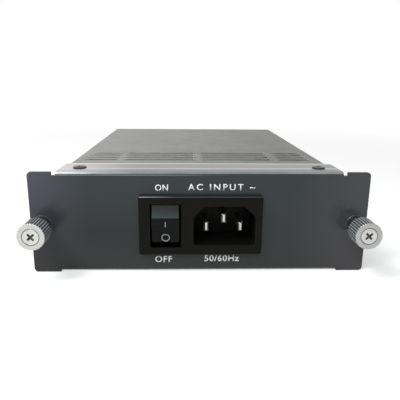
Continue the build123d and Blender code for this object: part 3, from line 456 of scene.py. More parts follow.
def knob_finish():
    """Satin nickel with painted shade in the knurl's grooves, which the point attribute groove
    marks; painted light makes the knurled side paler than the face, and painted shade darkens the
    right knob's face.
    """
    graph = Finish("knob_nickel")
    x, y, _ = graph.split(graph.place)
    groove = graph.add("ShaderNodeAttribute", attribute_name="groove").outputs["Fac"]
    fine = graph.noise(1500.0, detail=4.0)
    side = graph.above(y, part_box("left_thumb_knob")[0].y + 0.4 * MM)
    # Painted shade: the right knob's face is darker, and its grooves take a paler shade.
    right_knob_shading = graph.above(x, 0.0)
    face = graph.between(fine, (0.48, 0.475, 0.47), (0.55, 0.545, 0.54))
    face = graph.mix_colour(graph.times(right_knob_shading, 0.5), face, (0.3, 0.29, 0.285))
    # Painted light: the knurled side is paler than the face.
    tone = graph.mix_colour(side, face, (0.86, 0.9, 0.9))
    # Painted shade in the knurl's grooves.
    groove_shade = graph.times(side, graph.ramp(groove, [(0.2, 0.0), (0.6, 1.0)]))
    groove_shade_tone = graph.mix_colour(right_knob_shading, (0.085, 0.1, 0.105), (0.11, 0.13, 0.136))
    graph.surface({
        "Base Color": graph.mix_colour(groove_shade, tone, groove_shade_tone),
        "Metallic": graph.mix_value(side, 1.0, 0.8),
        "Roughness": graph.between(fine, 0.36, 0.46),
    }, fine, 0.003 * MM)


def wire_finish(name, colour, stripe_colour=None):
    """Wire insulation, plain or with a spiral stripe of a second colour."""
    graph = Finish(name)
    grain = graph.noise(900.0)
    tone = graph.between(grain, scaled(colour, 0.9), colour)
    if stripe_colour:
        stripes_per_metre = 220.0
        x, _, z = graph.split(graph.place)
        turn = graph.math("FRACT", graph.times(graph.plus(x, z), stripes_per_metre))
        tone = graph.mix_colour(graph.above(turn, 0.55), tone, stripe_colour)
    graph.surface({"Base Color": tone, "Roughness": graph.between(grain, 0.3, 0.45)},
                  grain, 0.01 * MM)


def floor_finish(glow):
    """White floor that keeps soft shadows near the object and is plain white further off."""
    graph = Finish("studio_floor")
    graph.surface({"Base Color": rgba(0.8), "Roughness": 0.9, "Specular IOR Level": 0.1})
    seen = graph.seen_rays()
    distance = graph.add("ShaderNodeVectorMath", {0: graph.place},
                         operation="LENGTH").outputs["Value"]
    far = graph.rise(distance, 0.22, 0.52)
    glowing = graph.result("ShaderNodeEmission", {"Strength": graph.times(seen, glow)})
    white = graph.result("ShaderNodeEmission", {"Strength": seen})
    near = graph.result("ShaderNodeAddShader", {0: graph.shader.outputs[0], 1: glowing})
    faded = graph.result("ShaderNodeMixShader", {0: graph.times(far, seen), 1: near, 2: white})
    graph.feed(graph.output.inputs["Surface"], faded)
    graph.arrange()
    return graph.material


class PSU_OT_materials(bpy.types.Operator):
    """Makes every finish of the object"""

    bl_idname = "psu.materials"
    bl_label = "Finishes"

    def execute(self, context):
        panel_finish(settings().finish)
        zinc_finish(settings().finish)
        for shaped_finish in (board_finish, sleeve_finish, plastic_finish, facet_finish,
                              knob_finish):
            shaped_finish()
        wire_finish("live_wire", (0.19, 0.06, 0.025))
        wire_finish("neutral_wire", (0.02, 0.09, 0.42))
        wire_finish("earth_wire", (0.05, 0.32, 0.04), (0.75, 0.62, 0.03))
        for name, colour, roughness, others in EVEN_FINISHES:
            even_finish(name, colour, roughness, **others)
        return {"FINISHED"}


# Meshes
class Editing:
    """Opens a mesh as a BMesh for a with block, and writes it back at the end."""

    def __init__(self, mesh):
        self.mesh = mesh

    def __enter__(self):
        self.shape = bmesh.new()
        self.shape.from_mesh(self.mesh)
        return self.shape

    def __exit__(self, *problem):
        self.shape.to_mesh(self.mesh)
        self.shape.free()


def new_object(name, data):
    """An object for a mesh, curve, lamp or camera, linked to the scene."""
    obj = bpy.data.objects.new(name, data)
    bpy.context.scene.collection.objects.link(obj)
    return obj


def adopt(obj, body, nodes, material=None):
    """Gives a finished mesh object its CAD body and its finish, and hides the CAD nodes it stands
    for.
    """
    obj.data.name = obj.name
    if material:
        obj.data.materials.clear()
        obj.data.materials.append(bpy.data.materials[material])
    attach(obj, body)
    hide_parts(*nodes)


def smooth_by_angle(mesh, degrees):
    """Smooth faces, with the edges sharper than the angle marked sharp."""
    limit = math.radians(degrees)
    with Editing(mesh) as shape:
        for face in shape.faces:
            face.smooth = True
        for edge in shape.edges:
            edge.smooth = edge.is_manifold and edge.calc_face_angle(0.0) < limit


def outward(mesh):
    """Makes the normals of a closed mesh point outwards."""
    with Editing(mesh) as shape:
        bmesh.ops.recalc_face_normals(shape, faces=shape.faces)


def merged_copy(node):
    """A copy of a CAD node's mesh with its seams merged and its flat faces joined."""
    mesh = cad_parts[node].data.copy()
    with Editing(mesh) as shape:
        bmesh.ops.remove_doubles(shape, verts=shape.verts, dist=1e-6)
        bmesh.ops.dissolve_limit(shape, angle_limit=math.radians(0.5), verts=shape.verts,
                                 edges=shape.edges)
        for face in shape.faces:
            face.smooth = False
        bmesh.ops.recalc_face_normals(shape, faces=shape.faces)
    mesh.materials.clear()
    return mesh


def evaluated_mesh(obj):
    """The object's evaluated shape as a new mesh."""
    graph = bpy.context.evaluated_depsgraph_get()
    graph.update()
    return bpy.data.meshes.new_from_object(obj.evaluated_get(graph))


def bake(obj):
    """Puts the object's evaluated mesh in the place of its data and modifiers."""
    mesh = evaluated_mesh(obj)
    if not mesh.polygons:
        raise RuntimeError(f"{obj.name} came out empty")
    obj.modifiers.clear()
    obj.data = mesh


def softened(node, name, width, segments=2):
    """A copy of a CAD node with its sharp edges rounded by a small width, in millimetres."""
    sharp = 32.0
    obj = new_object(name, merged_copy(node))
    bevel = obj.modifiers.new("edges", "BEVEL")
    bevel.width = width * MM
    bevel.segments = segments
    bevel.limit_method = "ANGLE"
    bevel.angle_limit = math.radians(sharp)
    bevel.use_clamp_overlap = True
    bevel.miter_outer = "MITER_ARC"
    bake(obj)
    smooth_by_angle(obj.data, sharp)
    flat = obj.modifiers.new("flat faces", "WEIGHTED_NORMAL")
    flat.mode = "FACE_AREA"
    flat.weight = 100
    flat.keep_sharp = True
    bake(obj)
    return obj


# Geometry node groups
class PieceGroup(Graph):
    """A geometry node group with named inputs, closed by Realize Instances and Set Material.

    Sizes gives each input's name and default, or its socket type where it has no default.
    """

    def __init__(self, name, sizes):
        super().__init__(bpy.data.node_groups.new(name, "GeometryNodeTree"))
        kinds = {int: "NodeSocketInt", float: "NodeSocketFloat"}
        inputs = {"Geometry": "NodeSocketGeometry", **sizes, "Material": "NodeSocketMaterial"}
        for label, value in inputs.items():
            kind = kinds.get(type(value))
            socket = self.tree.interface.new_socket(name=label, in_out="INPUT",
                                                    socket_type=kind or value)
            if kind:
                socket.default_value = value
        self.tree.interface.new_socket(name="Geometry", in_out="OUTPUT",
                                       socket_type="NodeSocketGeometry")
        self.start = self.add("NodeGroupInput").outputs
        self.end = self.add("NodeGroupOutput").inputs[0]

    def moved(self, geometry, place):
        """A geometry moved by a vector."""
        return self.result("GeometryNodeTransform", {"Geometry": geometry, "Translation": place})

    def close(self, geometry):
        """Ends the group in Realize Instances and Set Material."""
        solid = self.result("GeometryNodeRealizeInstances", {"Geometry": geometry})
        painted = self.result("GeometryNodeSetMaterial", {"Geometry": solid,
                                                          "Material": self.start["Material"]})
        self.feed(self.end, painted)
        self.arrange()
        return self.tree


def run_group(obj, tree, values):
    """Puts a node group on an object, sets its named inputs and bakes the result."""
    modifier = obj.modifiers.new(tree.name, "NODES")
    modifier.node_group = tree
    for item in tree.interface.items_tree:
        if item.item_type == "SOCKET" and item.in_out == "INPUT" and item.name in values:
            modifier[item.identifier] = values[item.name]
    bake(obj)


LATHE_SIZES = {"Segments": 64, "Knurl Count": 0, "Knurl Depth": 0.0, "Thread Pitch": 0.5 * MM,
               "Thread Depth": 0.0}
PLACING = {"Places": "NodeSocketObject", "Seed": 3}


def lathe_nodes(graph):
    """Turns a profile of points into a solid; X is the radius and Z the height.

    The point attribute "knurl" scales V grooves round it, and "thread" scales a helical ridge.
    """
    start = graph.start
    profile = start["Geometry"]
    above_zero = 1e-6
    count = graph.result("GeometryNodeAttributeDomainSize", {"Geometry": profile})
    around = graph.plus(start["Segments"], 1)
    sheet = graph.result("GeometryNodeMeshGrid", {"Vertices X": count, "Vertices Y": around})
    index = graph.result("GeometryNodeInputIndex")
    row = graph.math("FLOOR", graph.over(graph.plus(index, 0.5), around))
    step = graph.minus(index, graph.times(row, around))
    turn = graph.over(step, start["Segments"])

    def of_profile(value, kind):
        return graph.result("GeometryNodeSampleIndex",
                            {"Geometry": profile, "Index": row, "Value": value},
                            data_type=kind, domain="POINT")

    def named(label):
        return of_profile(graph.result("GeometryNodeInputNamedAttribute", {"Name": label},
                                       data_type="FLOAT"), "FLOAT")

    def ridges(turns, depth):
        """V grooves of a depth, one in each whole turn of a value."""
        return graph.times(graph.times(graph.math("PINGPONG", turns, 0.5), 2.0), depth)

    knurl = named("knurl")
    point = graph.split(of_profile(graph.result("GeometryNodeInputPosition"), "FLOAT_VECTOR"))
    groove = ridges(graph.times(turn, start["Knurl Count"]), start["Knurl Depth"])
    pitch = graph.math("MAXIMUM", start["Thread Pitch"], above_zero)
    helix = ridges(graph.plus(graph.over(point[2], pitch), turn), start["Thread Depth"])
    radius = graph.minus(point[0], graph.times(groove, knurl))
    radius = graph.minus(radius, graph.times(helix, named("thread")))
    radius = graph.math("MAXIMUM", radius, 0.0)
    angle = graph.times(turn, 2 * math.pi)
    place = graph.join(graph.times(radius, graph.math("COSINE", angle)),
                       graph.times(radius, graph.math("SINE", angle)), point[2])
    knurl_depth = graph.math("MAXIMUM", start["Knurl Depth"], above_zero)
    marked = graph.result("GeometryNodeStoreNamedAttribute", {
        "Geometry": sheet, "Name": "groove",
        "Value": graph.times(graph.over(groove, knurl_depth), knurl)},
        data_type="FLOAT", domain="POINT")
    placed = graph.result("GeometryNodeSetPosition", {"Geometry": marked, "Position": place})
    return graph.result("GeometryNodeMergeByDistance", {"Geometry": placed, "Distance": 2e-6})


def cross_recess(graph, solid):
    """Cuts a cross recess with sloping walls into the top of a screw's head."""
    size, depth = graph.start["Recess Size"], graph.start["Recess Depth"]
    deep = graph.times(depth, 2.0)
    narrow = graph.times(size, 0.27)
    cutters = [graph.result("GeometryNodeMeshCube", {"Size": graph.join(width, length, deep)})
               for width, length in ((size, narrow), (narrow, size))]
    cone = graph.result("GeometryNodeMeshCone", {
        "Vertices": 16, "Radius Top": graph.times(size, 0.30),
        "Radius Bottom": graph.times(size, 0.10), "Depth": graph.times(depth, 2.2)})
    cutters.append(graph.moved(cone, graph.join(z=graph.times(depth, -1.2))))
    cut = graph.add("GeometryNodeMeshBoolean", {"Mesh 1": solid}, operation="DIFFERENCE",
                    solver="EXACT")
    for cutter in cutters:
        raised = graph.moved(cutter, graph.join(z=graph.start["Head Top"]))
        graph.feed(cut.inputs["Mesh 2"], raised)
    return cut.outputs[0]


def placed_on(graph, piece):
    """Instances of a piece on the Places object's points, turned to each point's axis."""
    places = graph.add("GeometryNodeObjectInfo", {"Object": graph.start["Places"]})
    axis = graph.result("GeometryNodeInputNamedAttribute", {"Name": "axis"},
                        data_type="FLOAT_VECTOR")
    aim = graph.result("FunctionNodeAlignRotationToVector", {"Vector": axis}, axis="Z")
    spin = graph.add("FunctionNodeRandomValue", {"Seed": graph.start["Seed"], 2: 0.0, 3: math.pi},
                     data_type="FLOAT")
    twist = graph.result("FunctionNodeAxisAngleToRotation", {"Angle": spin.outputs[1]})
    turned = graph.result("FunctionNodeRotateRotation", {"Rotation": aim, "Rotate By": twist},
                          rotation_space="LOCAL")
    return graph.result("GeometryNodeInstanceOnPoints", {
        "Points": places.outputs["Geometry"], "Instance": piece, "Rotation": turned})


def turned_group():
    """A turned piece, placed on points."""
    graph = PieceGroup("Turned piece", {**LATHE_SIZES, **PLACING})
    return graph.close(placed_on(graph, lathe_nodes(graph)))


def screw_group():
    """A cross-recessed screw, placed on points."""
    graph = PieceGroup("Cross-recessed screw", {
        **LATHE_SIZES, "Head Top": 1.5 * MM, "Recess Size": 3.0 * MM, "Recess Depth": 1.0 * MM,
        **PLACING})
    return graph.close(placed_on(graph, cross_recess(graph, lathe_nodes(graph))))


def spring_group():
    """A compression spring along Y with closed end coils."""
    graph = PieceGroup("Compression spring", {"Radius": 2.45 * MM, "Wire": 0.5 * MM,
                                              "Length": 11.5 * MM, "Turns": 6.0})
    radius, wire = graph.start["Radius"], graph.start["Wire"]
    end_coil = 0.09
    line = graph.result("GeometryNodeCurvePrimitiveLine", {"End": (0.0, 1.0, 0.0)})
    fine = graph.result("GeometryNodeResampleCurve", {"Curve": line, "Count": 400})
    share = graph.add("GeometryNodeSplineParameter").outputs["Factor"]
    open_share = graph.result("ShaderNodeMapRange", {"Value": share, "From Min": end_coil,
                                                     "From Max": 1.0 - end_coil})
    rise = graph.times(open_share, graph.minus(graph.start["Length"], graph.times(wire, 3.0)))
    seat = graph.times(graph.times(share, wire), 2.0)
    along = graph.plus(graph.plus(rise, seat), graph.times(wire, 0.5))
    angle = graph.times(graph.times(share, graph.start["Turns"]), 2 * math.pi)
    place = graph.join(graph.times(graph.math("COSINE", angle), radius), along,
                       graph.times(graph.math("SINE", angle), radius))
    coil = graph.result("GeometryNodeSetPosition", {"Geometry": fine, "Position": place})
    ring = graph.result("GeometryNodeCurvePrimitiveCircle", {"Resolution": 12,
                                                             "Radius": graph.times(wire, 0.5)})
    return graph.close(graph.result("GeometryNodeCurveToMesh", {
        "Curve": coil, "Profile Curve": ring, "Fill Caps": True}))


def winding_group():
    """Turns of wire round a ring core, in two arcs."""
    graph = PieceGroup("Ring winding", {
        "Inner Radius": 4.0 * MM, "Outer Radius": 10.5 * MM, "Height": 11.5 * MM,
        "Wire": 1.1 * MM, "Turns": 22, "Arc": 2.5})
    inner, outer = graph.start["Inner Radius"], graph.start["Outer Radius"]
    wire, turns = graph.start["Wire"], graph.start["Turns"]
    loop = graph.result("GeometryNodeCurvePrimitiveQuadrilateral", {
        "Width": graph.minus(outer, inner), "Height": graph.start["Height"]})
    round_loop = graph.result("GeometryNodeFilletCurve", {
        "Curve": loop, "Count": 5, "Radius": graph.times(wire, 1.3)}, mode="POLY")
    ring = graph.result("GeometryNodeCurvePrimitiveCircle", {"Resolution": 10,
                                                             "Radius": graph.times(wire, 0.5)})
    turn = graph.result("GeometryNodeCurveToMesh", {"Curve": round_loop, "Profile Curve": ring})
    upright = graph.result("GeometryNodeTransform", {"Geometry": turn,
                                                     "Rotation": (math.pi / 2, 0.0, 0.0)})
    half = graph.times(graph.plus(outer, inner), 0.5)
    offset = graph.moved(upright, graph.join(half))
    row = graph.result("GeometryNodePoints", {"Count": graph.times(turns, 2)})
    index = graph.result("GeometryNodeInputIndex")
    side = graph.above(index, graph.minus(turns, 0.5))
    step = graph.minus(index, graph.times(side, turns))
    share = graph.minus(graph.over(step, graph.minus(turns, 1)), 0.5)
    angle = graph.math("MULTIPLY_ADD", share, graph.start["Arc"], graph.times(side, math.pi))
    return graph.close(graph.result("GeometryNodeInstanceOnPoints", {
        "Points": row, "Instance": offset, "Rotation": graph.join(z=angle)}))


def contact_group():
    """Two facing rows of contact pads on the edge of a board."""
    graph = PieceGroup("Edge contacts", {
        "Count": 18, "Span": 38.0 * MM, "Pad Width": 1.5 * MM, "Pad Length": 6.0 * MM,
        "Board Thickness": 1.6 * MM, "Plating": 0.04 * MM})
    start = graph.start
    row = graph.result("GeometryNodeMeshLine", {
        "Count": start["Count"], "Start Location": graph.join(graph.times(start["Span"], -0.5)),
        "Offset": graph.join(start["Span"])}, mode="END_POINTS")
    pad = graph.result("GeometryNodeMeshCube", {
        "Size": graph.join(start["Pad Width"], start["Pad Length"], start["Plating"])})
    pads = graph.result("GeometryNodeInstanceOnPoints", {"Points": row, "Instance": pad})
    both = graph.add("GeometryNodeJoinGeometry")
    for sign in (-0.5, 0.5):
        height = graph.times(start["Board Thickness"], sign)
        graph.feed(both.inputs[0], graph.moved(pads, graph.join(z=height)))
    return graph.close(both.outputs[0])


# Profiles for turned pieces, in millimetres
def profile_object(name, points):
    """An object of profile points, (radius, height, knurl, thread) in millimetres and shares."""
    mesh = bpy.data.meshes.new(name)
    mesh.from_pydata([(radius * MM, 0.0, height * MM) for radius, height, _, _ in points],
                     [(index, index + 1) for index in range(len(points) - 1)], [])
    for label, column in (("knurl", 2), ("thread", 3)):
        layer = mesh.attributes.new(label, "FLOAT", "POINT")
        layer.data.foreach_set("value", [float(point[column]) for point in points])
    return new_object(name, mesh)


def places_object(name, places):
    """Points with an axis each, for instances; given as (place, axis) pairs in metres."""
    mesh = bpy.data.meshes.new(name)
    mesh.from_pydata([tuple(place) for place, _ in places], [], [])
    layer = mesh.attributes.new("axis", "FLOAT_VECTOR", "POINT")
    layer.data.foreach_set("vector", [part for _, axis in places for part in axis])
    obj = new_object(name, mesh)
    obj.hide_render = True
    return obj


def plain(*pairs):
    """Profile points with no knurl and no thread."""
    return [(radius, height, 0.0, 0.0) for radius, height in pairs]


def threaded(radius, high, low, pitch, tip):
    """Profile points down a threaded shank, from its high end to its chamfered tip."""
    span = high - low - tip
    steps = max(int(span / pitch * 8), 8)
    run_out = 4
    points = [(radius, high, 0.0, 0.0)]
    for step in range(1, steps):
        share = 1.0 if run_out < step < steps - run_out else 0.3
        points.append((radius, high - span * step / steps, 0.0, share))
    return points + plain((radius, low + tip), (radius - tip, low), (0.0, low))


def domed_profile(head, height, shank, length):
    """A pan head with a rounded shoulder over a threaded shank, with its seat at height 0."""
    shoulder = height * 0.62
    angles = [math.pi / 2 * step / 7 for step in range(8)]
    arc = [(head - shoulder * (1 - math.sin(angle)), height - shoulder * (1 - math.cos(angle)))
           for angle in angles]
    return (plain((0.0, height), (head - shoulder * 1.6, height), *arc,
                  (head, 0.08), (head - 0.08, 0.0), (shank + 0.02, 0.0))
            + threaded(shank, -0.02, -length, 0.5, 0.3))


def flush_profile(head, shank, length):
    """A countersunk head with its flat top at height 0 over a threaded shank."""
    cone = head - shank
    return (plain((0.0, 0.0), (head - 0.12, 0.0), (head - 0.03, -0.03), (head - 0.06, -0.12))
            + threaded(shank, -cone - 0.02, -length, 0.5, 0.3))


def knob_profile(radius, length, wall, skirt, recess, recess_depth, bore):
    """A hollow knob with a knurled side and a recess for the screw's head.

    Height 0 is the front face, and heights run back into the panel as negatives.
    """
    return (plain((bore, -recess_depth), (recess - 0.08, -recess_depth),
                  (recess, -recess_depth + 0.08), (recess, -0.1), (recess + 0.1, 0.0),
                  (radius - 0.42, 0.0), (radius - 0.22, -0.05))
            + [(radius - 0.05, -0.18, 0.4, 0.0), (radius, -0.45, 1.0, 0.0),
               (radius, -length + 0.45, 1.0, 0.0)]
            + plain((radius - 0.4, -length + 0.08), (radius - 0.5, -length),
                    (skirt + 0.1, -length), (skirt, -length + 0.1), (skirt, -wall - 0.1),
                    (skirt - 0.1, -wall), (bore, -wall), (bore, -recess_depth)))


def ring_profile(bore, rim, thickness, rim_chamfer):
    """A flat ring with its edges broken, back from its front face at height 0."""
    chamfer = 0.05
    return plain((bore, -chamfer), (bore + chamfer, 0.0), (rim - rim_chamfer, 0.0),
                 (rim, -rim_chamfer), (rim, rim_chamfer - thickness),
                 (rim - rim_chamfer, -thickness), (bore + chamfer, -thickness),
                 (bore, chamfer - thickness), (bore, -chamfer))


# Settings
class PsuFinishSettings(bpy.types.PropertyGroup):
    """Colours and gloss of the sheet metal."""

    paint_low: bpy.props.FloatVectorProperty(
        name="Paint, low", description="Colour of the panel's paint near its lower edge",
        subtype="COLOR", size=3, default=(0.0265, 0.0245, 0.0255))
    paint_high: bpy.props.FloatVectorProperty(
        name="Paint, high", description="Colour of the panel's paint near its upper edge",
        subtype="COLOR", size=3, default=(0.019, 0.029, 0.032))
    paint_roughness: bpy.props.FloatProperty(
        name="Paint roughness", description="How matte the panel's paint is",
        default=0.2, min=0.05, max=1.0)
    paint_reach: bpy.props.FloatProperty(
        name="Paint reach", description="How far the paint runs back over the flanges",
        default=0.52 * MM, unit="LENGTH")
    score_line: bpy.props.FloatProperty(
        name="Score line", description="How far behind the face the flange's bright line runs",
        default=7.6 * MM, unit="LENGTH")
    zinc: bpy.props.FloatVectorProperty(
        name="Zinc", description="Colour of the bare zinc-coated sheet",
        subtype="COLOR", size=3, default=(0.34, 0.34, 0.33))
    zinc_roughness: bpy.props.FloatProperty(
        name="Zinc roughness", description="How matte the bare sheet is",
        default=0.38, min=0.05, max=1.0)


class PsuDetailSettings(bpy.types.PropertyGroup):
    """Sizes of the details that the CAD model leaves plain."""

    edge_width: bpy.props.FloatProperty(
        name="Edge width", description="Rounding of the sheet edges, in millimetres", default=0.12)
    knurl_count: bpy.props.IntProperty(
        name="Knurl count", description="Grooves round each thumbscrew's knob", default=32)
    knurl_depth: bpy.props.FloatProperty(
        name="Knurl depth", description="Depth of the knob's grooves", default=0.4 * MM,
        unit="LENGTH")
    contact_count: bpy.props.IntProperty(
        name="Contacts", description="Contact pads on each side of the rear tongue", default=18)
    spring_turns: bpy.props.FloatProperty(
        name="Spring turns", description="Coils of each thumbscrew's spring", default=7.5)
    winding_turns: bpy.props.IntProperty(
        name="Winding turns", description="Turns in each half of a choke's winding", default=15)
    print_lift: bpy.props.FloatProperty(
        name="Print lift", description="Thickness of the printed lettering", default=0.015 * MM,
        unit="LENGTH")


class PsuStageSettings(bpy.types.PropertyGroup):
    """The photograph's camera and the studio."""

    camera_back: bpy.props.FloatProperty(
        name="Camera back", description="Distance of the camera in front of the panel's face",
        default=175.736 * MM, unit="LENGTH")
    camera_side: bpy.props.FloatProperty(
        name="Camera side", description="Sideways place of the camera", default=-6.489 * MM,
        unit="LENGTH")
    camera_height: bpy.props.FloatProperty(
        name="Camera height", description="Height of the camera above the floor",
        default=76.612 * MM, unit="LENGTH")
    camera_pitch: bpy.props.FloatProperty(
        name="Camera pitch", description="How far the camera looks down",
        default=math.radians(14.784), subtype="ANGLE")
    camera_yaw: bpy.props.FloatProperty(
        name="Camera yaw", description="How far the camera looks to its right",
        default=math.radians(2.017), subtype="ANGLE")
    camera_roll: bpy.props.FloatProperty(
        name="Camera roll", description="How far the camera leans to its left",
        default=math.radians(0.514), subtype="ANGLE")
    camera_lens: bpy.props.FloatProperty(
        name="Lens", description="Focal length on a 36 mm sensor", default=41.388)
    ambient: bpy.props.FloatProperty(
        name="Ambient", description="Strength of the soft light from all round", default=0.42)
    floor_glow: bpy.props.FloatProperty(
        name="Floor glow", description="How much of the floor's white the camera sees as its own",
        default=0.35)


class PsuSettings(bpy.types.PropertyGroup):
    """All settings of the power supply."""

    finish: bpy.props.PointerProperty(type=PsuFinishSettings)
    detail: bpy.props.PointerProperty(type=PsuDetailSettings)
    stage: bpy.props.PointerProperty(type=PsuStageSettings)


def settings():
    """The scene's settings."""
    return bpy.context.scene.psu


# Pieces
class PSU_OT_sheet_parts(bpy.types.Operator):
    """Builds the front panel, the vented cover and the base tray"""

    bl_idname = "psu.sheet_parts"
    bl_label = "Sheet metal"

    sheets = [("front_panel", "panel_sheet", "panel_paint"),
              ("top_cover", "cover_sheet", "case_zinc"),
              ("base_tray", "tray_sheet", "case_zinc")]

    def execute(self, context):
        for node, name, material in self.sheets:
            sheet = softened(node, name, settings().detail.edge_width)
            adopt(sheet, "chassis", [node], material)
        return {"FINISHED"}


def text_mesh(name, words, width, height, depth, spacing):
    """Raised lettering as a centred mesh, with its width, height and thickness in metres."""
    curve = bpy.data.curves.new(name, "FONT")
    curve.body = words
    curve.offset = 0.016
    curve.align_x = "CENTER"
    curve.space_character = spacing
    curve.resolution_u = 6
    letters = new_object(name, curve)
    mesh = evaluated_mesh(letters)
    bpy.data.objects.remove(letters)
    with Editing(mesh) as shape:
        across = [vertex.co.x for vertex in shape.verts]
        upward = [vertex.co.y for vertex in shape.verts]
        centre = Vector((min(across) + max(across), min(upward) + max(upward), 0.0)) / 2
        bmesh.ops.translate(shape, verts=shape.verts, vec=-centre)
        bmesh.ops.scale(shape, verts=shape.verts, vec=(
            width / (max(across) - min(across)), height / (max(upward) - min(upward)), 1.0))
        raised = bmesh.ops.extrude_face_region(shape, geom=shape.faces[:])
        top = [part for part in raised["geom"] if isinstance(part, bmesh.types.BMVert)]
        bmesh.ops.translate(shape, verts=top, vec=(0.0, 0.0, depth))
        bmesh.ops.recalc_face_normals(shape, faces=shape.faces)
    return mesh


class PSU_OT_lettering(bpy.types.Operator):
    """Prints the switch and inlet lettering on the front panel"""

    bl_idname = "psu.lettering"
    bl_label = "Lettering"

    # Name, words, middle, size and letter spacing, in millimetres
    lines = [
        ("print_on", "ON", (-15.4, 35.15), (5.1, 2.6), 1.1),
        ("print_off", "OFF", (-14.9, 5.3), (6.9, 2.7), 1.12),
        ("print_input", "AC INPUT ~", (8.2, 35.4), (26.5, 2.6), 1.35),
        ("print_frequency", "50/60Hz", (8.8, 5.6), (14.2, 2.75), 1.1),
    ]

    def execute(self, context):
        facing = Matrix.Rotation(math.pi / 2, 4, "X")
        for name, words, (x, z), (width, height), spacing in self.lines:
            mesh = text_mesh(name, words, width * MM, height * MM, settings().detail.print_lift,
                             spacing)
            mesh.transform(Matrix.Translation((x * MM, FACE_Y, z * MM)) @ facing)
            adopt(new_object(name, mesh), "chassis", [], "panel_print")
        return {"FINISHED"}


class PSU_OT_inlet_module(bpy.types.Operator):
    """Builds the moulded inlet and switch module with its pins and tabs"""

    bl_idname = "psu.inlet_module"
    bl_label = "Inlet module"

    def execute(self, context):
        housing = softened("inlet_housing", "module_housing", 0.14)
        adopt(housing, "chassis", ["inlet_housing"], "black_plastic")
        for node in ("live_pin", "neutral_pin", "earth_pin", "switch_tabs"):
            piece = softened(node, f"{node}_metal", 0.08)
            adopt(piece, "chassis", [node], "pin_metal")
        return {"FINISHED"}


class PSU_OT_rocker(bpy.types.Operator):
    """Builds the rocker with its I and O marks"""

    bl_idname = "psu.rocker"
    bl_label = "Rocker"

    tilt = math.radians(12.0)
    face_radius = 6.33 * MM
    pivot_behind_bezel = 5.0 * MM
    bar_height = 2.3 * MM
    bar_place = 2.7 * MM
    ring_radius = 1.65 * MM
    ring_place = -3.3 * MM
    line_width = 0.32 * MM

    def shade_facet(self, mesh):
        """Two finishes on the rocker, the second with the facet's painted light and shade, and the
        attribute fade from the facet's lower edge up.
        """
        mesh.materials.clear()
        mesh.materials.append(bpy.data.materials["rocker_plastic"])
        mesh.materials.append(bpy.data.materials["rocker_facet"])
        raised = [face for face in mesh.polygons if face.normal.z > 0.1 and face.normal.y < -0.3]
        widest = max(raised, key=lambda face: face.area).normal.copy()
        facet = [face for face in mesh.polygons if face.normal.dot(widest) > 0.998]
        corners = {corner for face in facet for corner in face.vertices}
        heights = {corner: mesh.vertices[corner].co.z for corner in corners}
        low, high = min(heights.values()), max(heights.values())
        fade = mesh.attributes.new("fade", "FLOAT", "POINT")
        for corner, height in heights.items():
            fade.data[corner].value = (height - low) / (high - low)
        for face in mesh.polygons:
            face.material_index = 0
        for face in facet:
            face.material_index = 1

    def bar(self, mesh, lift):
        """The I, a raised bar."""
        with Editing(mesh) as shape:
            size = Matrix.Diagonal((self.line_width, self.bar_height, lift, 1.0))
            bmesh.ops.create_cube(shape, size=1.0,
                                  matrix=Matrix.Translation((0, 0, lift / 2)) @ size)

    def ring(self, mesh, lift):
        """The O, a raised ring."""
        steps = 48
        inner_radius = self.ring_radius - self.line_width
        with Editing(mesh) as shape:
            loops = []
            for radius, height in ((self.ring_radius, 0.0), (self.ring_radius, lift),
                                   (inner_radius, lift), (inner_radius, 0.0)):
                angles = [2 * math.pi * step / steps for step in range(steps)]
                loops.append([shape.verts.new((radius * math.cos(angle), radius * math.sin(angle),
                                               height)) for angle in angles])
            for loop, following in zip(loops, loops[1:] + loops[:1]):
                for step in range(steps):
                    after = (step + 1) % steps
                    shape.faces.new((loop[step], loop[after], following[after], following[step]))
            bmesh.ops.recalc_face_normals(shape, faces=shape.faces)

    def mark(self, name, draw, up):
        """Draws a mark and puts it on the rocker's main face, a distance up from its middle."""
        mesh = bpy.data.meshes.new(name)
        draw(mesh, settings().detail.print_lift)
        pivot = Vector((middle("switch_rocker").x, BEZEL_LOW.y + self.pivot_behind_bezel,
                        (BEZEL_LOW.z + BEZEL_HIGH.z) / 2))
        turn = Matrix.Rotation(math.pi / 2 + self.tilt, 4, "X")
        out = turn @ Vector((0.0, 0.0, 1.0))
        upward = turn @ Vector((0.0, 1.0, 0.0))
        place = pivot + out * self.face_radius + upward * up
        mesh.transform(Matrix.Translation(place) @ turn)
        adopt(new_object(name, mesh), "rocker", [], "mark_print")

    def execute(self, context):
        rocker = softened("switch_rocker", "rocker_body", 0.3, segments=3)
        self.shade_facet(rocker.data)
        adopt(rocker, "rocker", ["switch_rocker"])
        self.mark("mark_on", self.bar, self.bar_place)
        self.mark("mark_off", self.ring, self.ring_place)
        return {"FINISHED"}


def screw_places(node, axis):
    """The place of each loose screw in a CAD node, at the middle of its head's end.

    Each screw is one loose part of the node's mesh, and axis points out of its head.
    """
    shape = bmesh.new()
    shape.from_mesh(merged_copy(node))
    left = set(shape.verts)
    places = []
    while left:
        start = left.pop()
        island, front = [start], [start]
        while front:
            for edge in front.pop().link_edges:
                for vertex in edge.verts:
                    if vertex in left:
                        left.discard(vertex)
                        island.append(vertex)
                        front.append(vertex)
        low = Vector(min(vertex.co[part] for vertex in island) for part in range(3))
        high = Vector(max(vertex.co[part] for vertex in island) for part in range(3))
        centre, half = (low + high) / 2, (high - low) / 2
        way = axis(centre)
        reach = sum(abs(way[part]) * half[part] for part in range(3))
        places.append((centre + way * reach, way))
    shape.free()
    return sorted(places, key=lambda pair: tuple(pair[0]))


